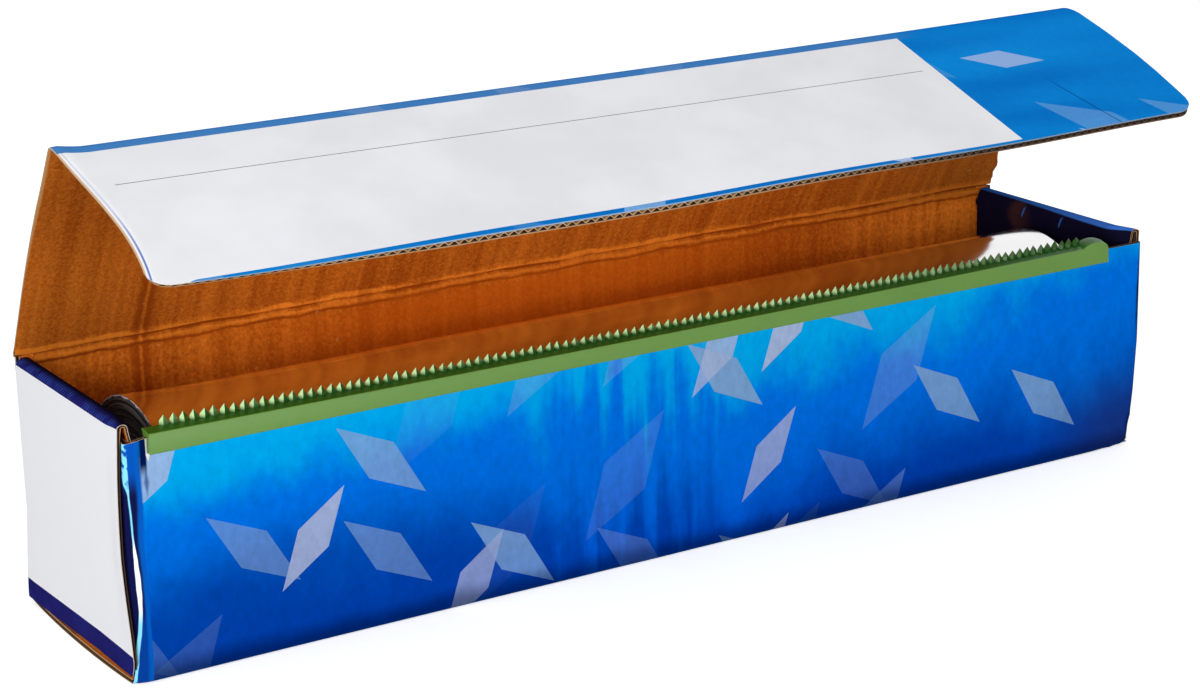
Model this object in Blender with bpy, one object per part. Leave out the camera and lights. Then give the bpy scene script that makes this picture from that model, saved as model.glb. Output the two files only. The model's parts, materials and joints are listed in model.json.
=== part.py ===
"""A roll of aluminium foil in its open corrugated carton, with a toothed plastic cutter strip.

Units are metres, +Z is up, +X runs along the carton and +Y points to its back. The origin is the
middle of the underside. The carton stands open, as it is used: the lid leans back over the roll
and its front flap hangs forwards from the crease. Both turn about empties on their hinge axes.
Everything follows from the roll: the carton is cut to its width and its diameter.
"""

import math

import bmesh
import bpy
from mathutils import Vector

MM = 0.001

# The roll and its core
FOIL_WIDTH = 279 * MM
ROLL_DIAMETER = 56.4 * MM
CORE_DIAMETER = 36 * MM
CORE_WALL = 2.1 * MM
CORE_PROUD = 0.8 * MM
CORE_GAP = 0.3 * MM
SEAT_GAP = 0.3 * MM
TURNS_SHOWN = 8
TURN_RELIEF = 0.35 * MM
FIRST_TURN = 0.45 * MM
TURN_EASE = 1.6
LOOSE_EDGE_ANGLE = math.radians(215)
ROLL_SEGMENTS = 64
CORE_SEGMENTS = 48
CORE_CHAMFER = 0.4 * MM

# The room that the carton leaves round the roll, and where the roll lies in it
PLAY_LENGTHWAYS = 17.2 * MM
PLAY_DEPTHWAYS = 7.5 * MM
ROLL_SHARE_LEFT = 0.628
ROLL_SHARE_FRONT = 0.3

# Board and folds of the carton
BOARD = 1.3 * MM
LAYER_GAP = 0.25 * MM
FOLD_RADIUS = 1.2 * MM
FRONT_CORNER_RADIUS = 3.2 * MM
END_FOLD_RADIUS = 1.25 * MM
FRONT_WALL_ABOVE_ROLL = 1.2 * MM
END_WALL_ABOVE_FRONT = 4.0 * MM
DUST_FLAP_LENGTH = 31 * MM
EDGE_SETBACK = 0.9 * MM
PANEL_GAP = 0.35 * MM
JOIN_INSET = 0.03 * MM
BEND_STEPS = 6

# Lid and front flap
LID_OPEN = math.radians(56.56)
FLAP_FOLD = math.radians(75.62)
LID_CLOSED_RISE = math.radians(1.2)
LID_SEAT_GAP = 0.25 * MM
HINGE_REACH = 1.0 * MM
CLOSED_FLAP_GAP = 0.8 * MM
FLAP_ABOVE_TABLE = 7.0 * MM
FLAP_CORNER_RADIUS = 5 * MM
LID_LEFT_INSET = 0.1 * MM
LID_RIGHT_INSET = 0.6 * MM
LID_RIGHT_SLANT = 3.4 * MM
FLAP_SLANT = 2.2 * MM
FLAP_LONGER_LEFT = 2.0 * MM

# Cutter strip
STRIP_WALL = 0.95 * MM
STRIP_TOP = 1.8 * MM
STRIP_FRONT_HEIGHT = 5.8 * MM
STRIP_BACK_HEIGHT = 5.0 * MM
STRIP_LEDGE = 0.5 * MM
STRIP_FIT_GAP = 0.25 * MM
STRIP_FROM_LEFT_END = 6.7 * MM
STRIP_FROM_RIGHT_END = 12.2 * MM
TOOTH_PITCH = 2.49 * MM
TOOTH_WIDTH = 2.0 * MM
TOOTH_DEPTH = 1.8 * MM
TOOTH_HEIGHT = 2.4 * MM
TOOTH_ROOT = 0.3 * MM
TOOTH_SETBACK = 0.15 * MM
TEETH_FROM_LEFT_END = 5.1 * MM
STRIP_PLAIN_END = 9.4 * MM
PLAIN_END_RISE = 1.1 * MM
PLAIN_END_STEPS = 8

# Worked out from the sizes above
CORE_RADIUS = CORE_DIAMETER / 2
ROLL_RADIUS = ROLL_DIAMETER / 2
BORE_RADIUS = CORE_RADIUS + CORE_GAP
END_THICKNESS = 3 * BOARD + 2 * LAYER_GAP
HALF_LENGTH = (FOIL_WIDTH + PLAY_LENGTHWAYS) / 2 + END_THICKNESS
HALF_DEPTH = (ROLL_DIAMETER + PLAY_DEPTHWAYS) / 2 + BOARD
ROLL_LEFT = -HALF_LENGTH + END_THICKNESS + ROLL_SHARE_LEFT * PLAY_LENGTHWAYS
ROLL_Y = -HALF_DEPTH + BOARD + ROLL_SHARE_FRONT * PLAY_DEPTHWAYS + ROLL_RADIUS
ROLL_Z = BOARD + SEAT_GAP + ROLL_RADIUS
FRONT_WALL_TOP = ROLL_Z + ROLL_RADIUS + FRONT_WALL_ABOVE_ROLL
END_WALL_TOP = FRONT_WALL_TOP + END_WALL_ABOVE_FRONT
WALL_Y = HALF_DEPTH - BOARD / 2
WALL_FOOT = BOARD + PANEL_GAP
HINGE_Z = END_WALL_TOP + LID_SEAT_GAP + BOARD / 2
OUTER_END_X = HALF_LENGTH - BOARD / 2
DUST_FLAP_X = OUTER_END_X - BOARD - LAYER_GAP
INNER_END_X = DUST_FLAP_X - BOARD - LAYER_GAP
STRIP_FRONT_Y = -HALF_DEPTH - STRIP_FIT_GAP - STRIP_WALL
LID_DEPTH = WALL_Y - STRIP_FRONT_Y + CLOSED_FLAP_GAP + BOARD / 2
FLAP_DEPTH = HINGE_Z + LID_DEPTH * math.sin(LID_CLOSED_RISE) - FLAP_ABOVE_TABLE

# Which of the outline's two sides runs along which world axis, for a prism along X, Y or Z
PRISM_AXES = {"X": (1, 2, 0), "Y": (0, 2, 1), "Z": (0, 1, 2)}


def clear_scene():
    for obj in list(bpy.data.objects):
        bpy.data.objects.remove(obj, do_unlink=True)


def make_material(name, color, roughness, metallic=0.0):
    material = bpy.data.materials.new(name)
    material.use_nodes = True
    shader = material.node_tree.nodes["Principled BSDF"]
    shader.inputs["Base Color"].default_value = (*color, 1)
    shader.inputs["Roughness"].default_value = roughness
    shader.inputs["Metallic"].default_value = metallic
    return material


def add_object(name, mesh, material=None):
    obj = bpy.data.objects.new(name, mesh)
    bpy.context.collection.objects.link(obj)
    if material:
        mesh.materials.append(material)
    return obj


def add_helper(name, mesh):
    """An object that only a Boolean uses."""
    obj = add_object(name, mesh)
    obj.hide_render = True
    obj.display_type = "WIRE"
    return obj


def finish_mesh(bm, name, smooth_below=None):
    bmesh.ops.recalc_face_normals(bm, faces=bm.faces)
    mesh = bpy.data.meshes.new(name)
    bm.to_mesh(mesh)
    bm.free()
    if smooth_below:
        mesh.shade_smooth()
        mesh.set_sharp_from_angle(angle=smooth_below)
    return mesh


def centre_line(corners, bends):
    """Points and directions along a line of straight runs, with each inner corner bent to a radius."""
    points = [Vector(corner) for corner in corners]
    line = [(points[0], (points[1] - points[0]).normalized())]
    for before, corner, after, radius in zip(points, points[1:], points[2:], bends):
        way_in = (corner - before).normalized()
        way_out = (after - corner).normalized()
        turn = math.atan2(way_in.x * way_out.y - way_in.y * way_out.x, way_in.dot(way_out))
        start = corner - way_in * radius * math.tan(abs(turn) / 2)
        side = Vector((-way_in.y, way_in.x)) * math.copysign(radius, turn)
        centre = start + side
        for step in range(BEND_STEPS + 1):
            angle = turn * step / BEND_STEPS
            spoke = -side
            spoke = Vector((
                spoke.x * math.cos(angle) - spoke.y * math.sin(angle),
                spoke.x * math.sin(angle) + spoke.y * math.cos(angle),
            ))
            heading = math.atan2(way_in.y, way_in.x) + angle
            line.append((centre + spoke, Vector((math.cos(heading), math.sin(heading)))))
    line.append((points[-1], (points[-1] - points[-2]).normalized()))
    return line


def half_round(point, heading, radius):
    """The round end of a creased board, from its right side to its left."""
    start = math.atan2(heading.y, heading.x) - math.pi / 2
    angles = [start + math.pi * step / BEND_STEPS for step in range(1, BEND_STEPS)]
    return [point + Vector((math.cos(angle), math.sin(angle))) * radius for angle in angles]


def board_outline(corners, bends=(), round_start=False, round_end=False, inset=0):
    """The outline of a bent board seen on its edge, about the centre line given.

    A board that runs into another in the same plane is let in by a hair on both faces, so that no
    two faces that are joined lie in one plane.
    """
    line = centre_line(corners, bends)
    half = BOARD / 2 - inset
    right = [point + Vector((way.y, -way.x)) * half for point, way in line]
    left = [point + Vector((-way.y, way.x)) * half for point, way in line]
    outline = list(right)
    if round_end:
        outline += half_round(*line[-1], half)
    outline += reversed(left)
    if round_start:
        outline += half_round(line[0][0], -line[0][1], half)
    return outline


def prism(name, outline, axis, low, high, smooth_below=None):
    """A solid of one outline, drawn out along a world axis from low to high."""
    first, second, along = PRISM_AXES[axis]
    bm = bmesh.new()
    rings = []
    for reach in (low, high):
        ring = []
        for point in outline:
            place = [0.0, 0.0, 0.0]
            place[first], place[second], place[along] = point[0], point[1], reach
            ring.append(bm.verts.new(place))
        rings.append(ring)
    near, far = rings
    bm.faces.new(near)
    bm.faces.new(far)
    for index in range(len(near)):
        after = (index + 1) % len(near)
        bm.faces.new((near[index], near[after], far[after], far[index]))
    return finish_mesh(bm, name, smooth_below)


def box_outline(low, high):
    return [(low[0], low[1]), (high[0], low[1]), (high[0], high[1]), (low[0], high[1])]


def join(target, helpers):
    for helper in helpers:
        modifier = target.modifiers.new("Join " + helper.name, "BOOLEAN")
        modifier.operation = "UNION"
        modifier.object = helper


def front_dust_flap(side):
    """The front wall's own end, bent softly back between the two layers of the end wall."""
    overlap_x = HALF_LENGTH - END_THICKNESS - FRONT_CORNER_RADIUS
    corners = [
        (side * overlap_x, -WALL_Y),
        (side * DUST_FLAP_X, -WALL_Y),
        (side * DUST_FLAP_X, -HALF_DEPTH + DUST_FLAP_LENGTH),
    ]
    outline = board_outline(corners, [FRONT_CORNER_RADIUS], inset=JOIN_INSET)
    return prism("dust_flap", outline, "Z", WALL_FOOT, FRONT_WALL_TOP - JOIN_INSET)


def back_corner(side):
    """The upright fold between the back wall and the outer layer of the end wall."""
    overlap_x = HALF_LENGTH - END_THICKNESS - FRONT_CORNER_RADIUS
    corners = [
        (side * overlap_x, WALL_Y),
        (side * OUTER_END_X, WALL_Y),
        (side * OUTER_END_X, WALL_Y - BOARD - LAYER_GAP - EDGE_SETBACK),
    ]
    outline = board_outline(corners, [FOLD_RADIUS], inset=JOIN_INSET)
    return prism("back_corner", outline, "Z", WALL_FOOT + JOIN_INSET, END_WALL_TOP - BOARD)


def end_wall(side):
    """The outer layer of the end wall and its fold over the top, down to the front wall's height."""
    crown = END_WALL_TOP - BOARD / 2
    shoulder = END_WALL_TOP - BOARD / 2 - END_FOLD_RADIUS
    fold_inner_x = OUTER_END_X - 2 * END_FOLD_RADIUS
    corners = [
        (side * OUTER_END_X, WALL_FOOT),
        (side * OUTER_END_X, crown),
        (side * fold_inner_x, crown),
        (side * fold_inner_x, shoulder),
        (side * INNER_END_X, FRONT_WALL_TOP + PANEL_GAP),
    ]
    outline = board_outline(corners, [END_FOLD_RADIUS, END_FOLD_RADIUS, BOARD])
    back = HALF_DEPTH - BOARD - LAYER_GAP
    return prism("end_wall", outline, "Y", -HALF_DEPTH + EDGE_SETBACK, back)


def inner_end_panel(side):
    """The inner layer of the end wall, tucked down behind the dust flap to the carton's floor."""
    shoulder = END_WALL_TOP - BOARD / 2 - END_FOLD_RADIUS
    fold_inner_x = OUTER_END_X - 2 * END_FOLD_RADIUS
    corners = [
        (side * fold_inner_x, END_WALL_TOP - BOARD / 2 - END_FOLD_RADIUS / 2),
        (side * fold_inner_x, shoulder),
        (side * INNER_END_X, FRONT_WALL_TOP + PANEL_GAP),
        (side * INNER_END_X, WALL_FOOT),
    ]
    outline = board_outline(corners, [BOARD, BOARD], inset=JOIN_INSET)
    front = -HALF_DEPTH + BOARD / 2 + FRONT_CORNER_RADIUS
    return prism("inner_end_panel", outline, "Y", front, HALF_DEPTH - BOARD - LAYER_GAP - JOIN_INSET)


def floor_end(side):
    """The floor board's own end, which the end wall stands on."""
    inner = side * (HALF_LENGTH - END_THICKNESS - FRONT_CORNER_RADIUS)
    outer = side * (HALF_LENGTH - LID_LEFT_INSET)
    reach = HALF_DEPTH - EDGE_SETBACK
    outline = box_outline((min(inner, outer), -reach), (max(inner, outer), reach))
    return prism("floor_end", outline, "Z", JOIN_INSET, BOARD - JOIN_INSET)


def make_carton_body(material):
    """Front wall, floor, back wall and both end walls: one board, cut, creased and folded."""
    girth_half = HALF_LENGTH - END_THICKNESS - FRONT_CORNER_RADIUS + BOARD
    corners = [
        (-WALL_Y, FRONT_WALL_TOP),
        (-WALL_Y, BOARD / 2),
        (WALL_Y, BOARD / 2),
        (WALL_Y, HINGE_Z - HINGE_REACH),
    ]
    outline = board_outline(corners, [FOLD_RADIUS, FOLD_RADIUS], round_end=True)
    body = add_object("carton_body", prism("carton_body", outline, "X", -girth_half, girth_half), material)
    makers = (floor_end, back_corner, end_wall, inner_end_panel, front_dust_flap)
    helpers = [
        add_helper(maker.__name__ + ("_left" if side < 0 else "_right"), maker(side))
        for side in (-1, 1)
        for maker in makers
    ]
    join(body, helpers)
    return body


def slant_ends(mesh, depth, left_shift, right_shift):
    """Slants a panel's two short ends: its edge far from the hinge moves by these shifts."""
    for vertex in mesh.vertices:
        shift = left_shift if vertex.co.x < 0 else right_shift
        vertex.co.x += shift * -vertex.co.y / depth


def make_lid_panel(axis, material):
    outline = board_outline([(-HINGE_REACH, 0), (-LID_DEPTH + HINGE_REACH, 0)], round_start=True, round_end=True)
    left = -HALF_LENGTH + LID_LEFT_INSET
    right = HALF_LENGTH - LID_RIGHT_INSET
    mesh = prism("lid_panel", outline, "X", left, right, math.radians(40))
    slant_ends(mesh, LID_DEPTH, 0, -LID_RIGHT_SLANT)
    panel = add_object("lid_panel", mesh, material)
    panel.parent = axis
    return panel


def make_lid_front_flap(axis, material):
    """The flap that hangs before the front wall when the carton is shut, its free corners rounded."""
    outline = board_outline([(-HINGE_REACH, 0), (-FLAP_DEPTH, 0)], round_start=True)
    left = -HALF_LENGTH + LID_LEFT_INSET
    right = HALF_LENGTH - LID_RIGHT_INSET - LID_RIGHT_SLANT
    mesh = prism("lid_front_flap", outline, "X", left, right)
    bm = bmesh.new()
    bm.from_mesh(mesh)
    free_corners = [
        edge
        for edge in bm.edges
        if all(vertex.co.y < -FLAP_DEPTH + BOARD / 2 for vertex in edge.verts)
        and abs(edge.verts[0].co.x - edge.verts[1].co.x) < BOARD / 2
    ]
    bmesh.ops.bevel(
        bm, geom=free_corners, offset=FLAP_CORNER_RADIUS, segments=BEND_STEPS, affect="EDGES", profile=0.5
    )
    for vertex in bm.verts:
        if vertex.co.y < -FLAP_DEPTH / 2:
            vertex.co.y -= FLAP_LONGER_LEFT * (right - vertex.co.x) / (right - left)
    bpy.data.meshes.remove(mesh)
    mesh = finish_mesh(bm, "lid_front_flap", math.radians(40))
    slant_ends(mesh, FLAP_DEPTH, -FLAP_SLANT / 2, -FLAP_SLANT)
    flap = add_object("lid_front_flap", mesh, material)
    flap.parent = axis
    return flap


def add_hinge(name, place, angle, parent=None):
    """An empty on a hinge axis, which runs along X."""
    hinge = add_object(name, None)
    hinge.location = place
    hinge.rotation_euler.x = angle
    hinge.parent = parent
    return hinge


def strip_outline():
    """The strip's section, a channel pushed down over the front wall's top edge."""
    top = FRONT_WALL_TOP + SEAT_GAP + STRIP_TOP
    under = FRONT_WALL_TOP + SEAT_GAP
    front_inner = -HALF_DEPTH - STRIP_FIT_GAP
    back_inner = -HALF_DEPTH + BOARD + STRIP_FIT_GAP
    back_outer = back_inner + STRIP_WALL
    return [
        (STRIP_FRONT_Y, top - STRIP_FRONT_HEIGHT),
        (front_inner, top - STRIP_FRONT_HEIGHT),
        (front_inner, under),
        (back_inner, under),
        (back_inner, top - STRIP_BACK_HEIGHT),
        (back_outer, top - STRIP_BACK_HEIGHT),
        (back_outer, top - STRIP_TOP / 2),
        (back_outer + STRIP_LEDGE, top - STRIP_TOP / 2),
        (back_outer + STRIP_LEDGE, top),
        (STRIP_FRONT_Y, top),
    ]


def tooth_row(left, right):
    """All the teeth as one helper: four-sided points with their feet let into the strip's top."""
    top = FRONT_WALL_TOP + SEAT_GAP + STRIP_TOP
    back = -HALF_DEPTH + BOARD + STRIP_FIT_GAP + STRIP_WALL + STRIP_LEDGE
    middle = back - TOOTH_DEPTH / 2 - TOOTH_SETBACK
    count = int((right - left) / TOOTH_PITCH + 0.5) + 1
    pitch = (right - left) / (count - 1)
    bm = bmesh.new()
    for index in range(count):
        x = left + index * pitch
        feet = [
            (x + across * TOOTH_WIDTH / 2, middle + away * TOOTH_DEPTH / 2)
            for across, away in ((-1, -1), (1, -1), (1, 1), (-1, 1))
        ]
        root = [bm.verts.new((*foot, top - TOOTH_ROOT)) for foot in feet]
        foot = [bm.verts.new((*foot, top)) for foot in feet]
        tip = bm.verts.new((x, middle, top + TOOTH_HEIGHT))
        bm.faces.new(root)
        for corner in range(4):
            after = (corner + 1) % 4
            bm.faces.new((root[corner], root[after], foot[after], foot[corner]))
            bm.faces.new((foot[corner], foot[after], tip))
    return finish_mesh(bm, "teeth")


def plain_end(right):
    """The rounded block without teeth at the strip's right end."""
    top = FRONT_WALL_TOP + SEAT_GAP + STRIP_TOP
    left = right - STRIP_PLAIN_END + TOOTH_PITCH / 2
    half = (right - left) / 2
    angles = [math.pi * step / PLAIN_END_STEPS for step in range(PLAIN_END_STEPS + 1)]
    arch = [(left + half - half * math.cos(angle), top + PLAIN_END_RISE * math.sin(angle)) for angle in angles]
    outline = [(left, top - TOOTH_ROOT)] + arch + [(right, top - TOOTH_ROOT)]
    back = -HALF_DEPTH + BOARD + STRIP_FIT_GAP + STRIP_WALL + STRIP_LEDGE
    return prism("plain_end", outline, "Y", STRIP_FRONT_Y, back)


def make_cutter_strip(material):
    left = -HALF_LENGTH + STRIP_FROM_LEFT_END
    right = HALF_LENGTH - STRIP_FROM_RIGHT_END
    strip = add_object("cutter_strip", prism("cutter_strip", strip_outline(), "X", left, right), material)
    teeth = add_helper("tooth_row", tooth_row(left + TEETH_FROM_LEFT_END, right - STRIP_PLAIN_END))
    end = add_helper("strip_plain_end", plain_end(right))
    join(strip, (teeth, end))
    return strip


def turn_radius(turns_out):
    """Radius of a turn's edge: the turns lie closer together towards the loose edge."""
    left_over = 1 - turns_out / (TURNS_SHOWN + 1)
    start = BORE_RADIUS + FIRST_TURN
    return start + (ROLL_RADIUS - start) * (1 - left_over**TURN_EASE)


def make_foil_roll(material):
    """The wound foil: its turns are a spiral of ridges on both ends and end in a loose edge.

    The ridges and the grooves between them are spiral lines. After one round each of them meets
    the line two further out, so the seam joins line n at its end to line n + 2 at its start.
    """
    lines = 2 * TURNS_SHOWN + 1
    bm = bmesh.new()
    ends = []
    for end_x, inward in ((ROLL_LEFT, 1), (ROLL_LEFT + FOIL_WIDTH, -1)):
        bore = []
        spiral = {}
        for segment in range(ROLL_SEGMENTS + 1):
            angle = LOOSE_EDGE_ANGLE + 2 * math.pi * segment / ROLL_SEGMENTS
            spoke = Vector((0, math.cos(angle), math.sin(angle)))
            centre = Vector((end_x, ROLL_Y, ROLL_Z))
            groove = Vector((inward * TURN_RELIEF, 0, 0))
            if segment < ROLL_SEGMENTS:
                bore.append(bm.verts.new(centre + spoke * BORE_RADIUS + groove))
            for line in range(lines):
                if segment == ROLL_SEGMENTS and line + 2 < lines:
                    spiral[segment, line] = spiral[0, line + 2]
                    continue
                radius = turn_radius(line / 2 + segment / ROLL_SEGMENTS)
                depth = groove * (line % 2)
                spiral[segment, line] = bm.verts.new(centre + spoke * radius + depth)
        bore.append(bore[0])
        for segment in range(ROLL_SEGMENTS):
            bm.faces.new((bore[segment], bore[segment + 1], spiral[segment + 1, 0], spiral[segment, 0]))
            for line in range(lines - 1):
                bm.faces.new((
                    spiral[segment, line],
                    spiral[segment + 1, line],
                    spiral[segment + 1, line + 1],
                    spiral[segment, line + 1],
                ))
        bm.faces.new((bore[0], spiral[0, 0], spiral[0, 1], spiral[0, 2]))
        ends.append((bore, spiral))
    (left_bore, left), (right_bore, right) = ends
    outer = lines - 1
    for segment in range(ROLL_SEGMENTS):
        after = segment + 1
        bm.faces.new((left_bore[segment], left_bore[after], right_bore[after], right_bore[segment]))
        bm.faces.new((left[segment, outer], left[after, outer], right[after, outer], right[segment, outer]))
    last = ROLL_SEGMENTS
    bm.faces.new((
        left[0, outer],
        left[last, outer - 1],
        left[last, outer],
        right[last, outer],
        right[last, outer - 1],
        right[0, outer],
    ))
    return add_object("foil_roll", finish_mesh(bm, "foil_roll", math.radians(20)), material)


def make_core_tube(material):
    """The paperboard tube that the foil is wound on."""
    left = ROLL_LEFT - CORE_PROUD
    right = ROLL_LEFT + FOIL_WIDTH + CORE_PROUD
    inner = CORE_RADIUS - CORE_WALL
    section = [
        (left, inner),
        (left, CORE_RADIUS - CORE_CHAMFER),
        (left + CORE_CHAMFER, CORE_RADIUS),
        (right - CORE_CHAMFER, CORE_RADIUS),
        (right, CORE_RADIUS - CORE_CHAMFER),
        (right, inner),
    ]
    bm = bmesh.new()
    verts = [bm.verts.new((x, 0, radius)) for x, radius in section]
    edges = [bm.edges.new((verts[index], verts[(index + 1) % len(verts)])) for index in range(len(verts))]
    bmesh.ops.spin(
        bm, geom=verts + edges, cent=(0, 0, 0), axis=(1, 0, 0), angle=2 * math.pi, steps=CORE_SEGMENTS, use_merge=True
    )
    tube = add_object("core_tube", finish_mesh(bm, "core_tube", math.radians(30)), material)
    tube.location = (0, ROLL_Y, ROLL_Z)
    return tube


def main():
    clear_scene()
    film_blue = make_material("Metallised blue film", (0.01, 0.19, 0.62), 0.25, 0.7)
    kraft = make_material("Brown kraft board", (0.42, 0.19, 0.07), 0.85)
    label_white = make_material("White printed board", (0.8, 0.8, 0.82), 0.4)
    green = make_material("Green moulded plastic", (0.13, 0.34, 0.08), 0.4)
    foil = make_material("Bright aluminium foil", (0.85, 0.85, 0.86), 0.15, 1.0)
    core_board = make_material("Grey core board", (0.48, 0.42, 0.34), 0.9)

    make_carton_body(film_blue)
    make_core_tube(core_board)
    make_foil_roll(foil)
    make_cutter_strip(green)
    lid_axis = add_hinge("lid_hinge_axis", (0, WALL_Y, HINGE_Z), -LID_OPEN)
    make_lid_panel(lid_axis, kraft)
    flap_axis = add_hinge("flap_hinge_axis", (0, -LID_DEPTH, 0), FLAP_FOLD, lid_axis)
    make_lid_front_flap(flap_axis, label_white)


main()
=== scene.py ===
"""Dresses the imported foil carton: corrugated board, metallised film, foil, cutter strip and stage.

Blender units are metres, +X runs along the carton, +Y points to its back and +Z is up. A board is
made of two liners with a fluted sheet between them, so that its raw edges are open as real ones are.
"""

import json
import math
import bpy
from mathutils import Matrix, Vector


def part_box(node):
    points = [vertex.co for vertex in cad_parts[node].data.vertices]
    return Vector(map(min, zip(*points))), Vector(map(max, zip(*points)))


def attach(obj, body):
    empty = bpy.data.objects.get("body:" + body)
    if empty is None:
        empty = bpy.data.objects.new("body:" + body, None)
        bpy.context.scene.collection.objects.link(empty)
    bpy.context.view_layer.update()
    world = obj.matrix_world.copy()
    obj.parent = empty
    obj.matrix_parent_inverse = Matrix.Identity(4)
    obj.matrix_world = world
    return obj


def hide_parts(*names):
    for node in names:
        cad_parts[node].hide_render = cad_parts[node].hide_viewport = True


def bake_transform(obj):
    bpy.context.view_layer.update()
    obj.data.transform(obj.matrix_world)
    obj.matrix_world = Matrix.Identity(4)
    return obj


bl_info = {
    "name": "Foil carton",
    "version": (1, 0, 0),
    "blender": (4, 5, 0),
    "location": "3D View > Sidebar > Foil carton",
    "description": "Builds the board, film, foil and cutter strip of an open carton of foil",
    "category": "Add Mesh",
}

import bmesh
import bpy
import numpy as np
from mathutils import Matrix

MM = 0.001
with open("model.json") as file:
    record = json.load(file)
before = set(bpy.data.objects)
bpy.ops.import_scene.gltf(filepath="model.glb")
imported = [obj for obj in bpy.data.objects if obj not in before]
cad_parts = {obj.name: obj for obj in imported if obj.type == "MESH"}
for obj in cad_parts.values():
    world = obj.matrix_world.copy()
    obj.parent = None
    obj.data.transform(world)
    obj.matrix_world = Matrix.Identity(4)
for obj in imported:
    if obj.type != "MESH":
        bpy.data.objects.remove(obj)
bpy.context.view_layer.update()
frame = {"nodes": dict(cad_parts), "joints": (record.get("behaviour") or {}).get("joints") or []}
JOINTS = {joint["name"]: joint for joint in frame["joints"]}
CARTON_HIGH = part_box("carton_body")[1]
STRIP_LOW, STRIP_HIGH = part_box("cutter_strip")
ROLL_LOW, ROLL_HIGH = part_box("foil_roll")
LID_HINGE = np.array(JOINTS["lid_hinge"]["pos_m"])
FLAP_HINGE = np.array(JOINTS["flap_hinge"]["pos_m"])
FLAP_FOLD_DEGREES = 75.62
FLAP_LEFT = -154.3 * MM
FLAP_WIDTH = 299.2 * MM
DECK_DEPTH = 2.4 * MM


def size(name, description, millimetres):
    """A length that a user may change."""
    return bpy.props.FloatProperty(
        name=name, description=description, default=millimetres * MM, unit="LENGTH", precision=5
    )


def colour(name, description, *default):
    """A colour that a user may change."""
    return bpy.props.FloatVectorProperty(name=name, description=description, default=default, subtype="COLOR")


def power(name, description, watts):
    """A lamp's power that a user may change."""
    return bpy.props.FloatProperty(name=name, description=description, default=watts, unit="POWER")


class CartonSizes(bpy.types.PropertyGroup):
    """Sizes of the corrugated board."""

    board: size("Board", "Thickness of the corrugated board", 1.3)
    liner: size("Liner", "Thickness of each liner", 0.25)
    fluting: size("Fluting", "Thickness of the wavy sheet", 0.16)
    flute_pitch: size("Flute pitch", "Length of one wave", 2.6)
    crease_reach: size("Crease reach", "Board on each side of a crease that bends", 6)
    lid_bow: size("Lid bow", "How far the lid's middle stands proud", 1.3)


class FilmColours(bpy.types.PropertyGroup):
    """Colours of the printed film and of the board."""

    # azure, mid blue and royal blue also paint the front wall's reflection: bright film above, darker film
    # below
    azure: colour("Azure", "Film high on the front wall", 0.0, 0.46, 1.0)
    mid_blue: colour("Mid blue", "Film between azure and royal blue", 0.0, 0.2, 0.92)
    royal: colour("Royal blue", "Film low on the front wall", 0.0, 0.078, 0.5)
    navy: colour("Navy", "Film on the carton's ends", 0.018, 0.018, 0.16)
    lilac: colour("Lilac", "Pale print on the film", 0.47, 0.57, 0.82)
    label: colour("Label", "White print of the label", 0.88, 0.885, 0.925)
    kraft: colour("Kraft", "Inner liner of the board", 0.68, 0.158, 0.008)
    raw_edge: colour("Raw edge", "Cut edges of the board", 0.42, 0.24, 0.11)
    pale_edge: colour("Pale edge", "Cut edge of the outer liner", 0.62, 0.52, 0.42)


class FoilSizes(bpy.types.PropertyGroup):
    """The roll's turns as its ends show them, and its finish."""

    turns: bpy.props.IntProperty(name="Turns", description="Turns that the ends show", default=26)
    relief: size("Relief", "How far the turns' edges stand out", 0.3)
    roughness: bpy.props.FloatProperty(
        name="Roughness", description="Roughness of the foil", default=0.13, subtype="FACTOR"
    )


class StripSizes(bpy.types.PropertyGroup):
    """The cutter strip's teeth and colours."""

    tooth_count: bpy.props.IntProperty(name="Teeth", description="Number of teeth", default=110)
    tooth_height: size("Tooth height", "Height of a tooth", 2.8)
    tooth_radius: size("Tooth radius", "Half the width of a tooth's foot", 1.16)
    green: colour("Green", "Colour of the strip", 0.104, 0.24, 0.032)
    # painted light: the teeth's pale colour, shown on their lit left flanks
    lit_tooth_green: colour("Tooth green", "Colour of the teeth", 0.52, 0.76, 0.36)
    # painted shade: the dark green between the teeth, on the deck and on the teeth's shaded flanks
    deck_shade_green: colour("Deck green", "Colour between the teeth", 0.014, 0.13, 0.004)


class StageSettings(bpy.types.PropertyGroup):
    """Light and camera."""

    world: bpy.props.FloatProperty(name="World", description="Strength of the soft light", default=0.62)
    key: power("Key", "Power of the lamp from the left", 5.0)
    front: power("Front", "Power of the lamp in front", 2.2)
    floor: colour("Floor", "Colour of the floor", 0.93, 0.93, 0.93)
    lens: bpy.props.FloatProperty(name="Lens", description="Focal length in mm", default=83.33)


def sign(operation, swapped=False):
    """A method that stands for one of the usual signs."""

    def apply(self, other=0.0):
        pair = (other, self) if swapped else (self, other)
        return self.finish.math(operation, *pair)

    return apply


class Value:
    """A number that a shader works out, which takes the usual signs."""

    __add__ = sign("ADD")
    __sub__ = sign("SUBTRACT")
    __rsub__ = sign("SUBTRACT", swapped=True)
    __mul__ = sign("MULTIPLY")
    __truediv__ = sign("DIVIDE")
    __abs__ = sign("ABSOLUTE")
    __lt__ = sign("LESS_THAN")
    __gt__ = sign("GREATER_THAN")

    def __init__(self, finish, socket):
        self.finish, self.socket = finish, socket

    def step(self, low, high):
        """0 below low, 1 above high, smooth between."""
        inputs = {0: self, 1: low, 2: high}
        return self.finish.value("ShaderNodeMapRange", inputs, interpolation_type="SMOOTHSTEP")


def wire(tree, socket, value):
    """Links a socket, or sets it to a plain value."""
    if isinstance(value, Value):
        value = value.socket
    if isinstance(value, bpy.types.NodeSocket):
        tree.links.new(value, socket)
    else:
        socket.default_value = value


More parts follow.
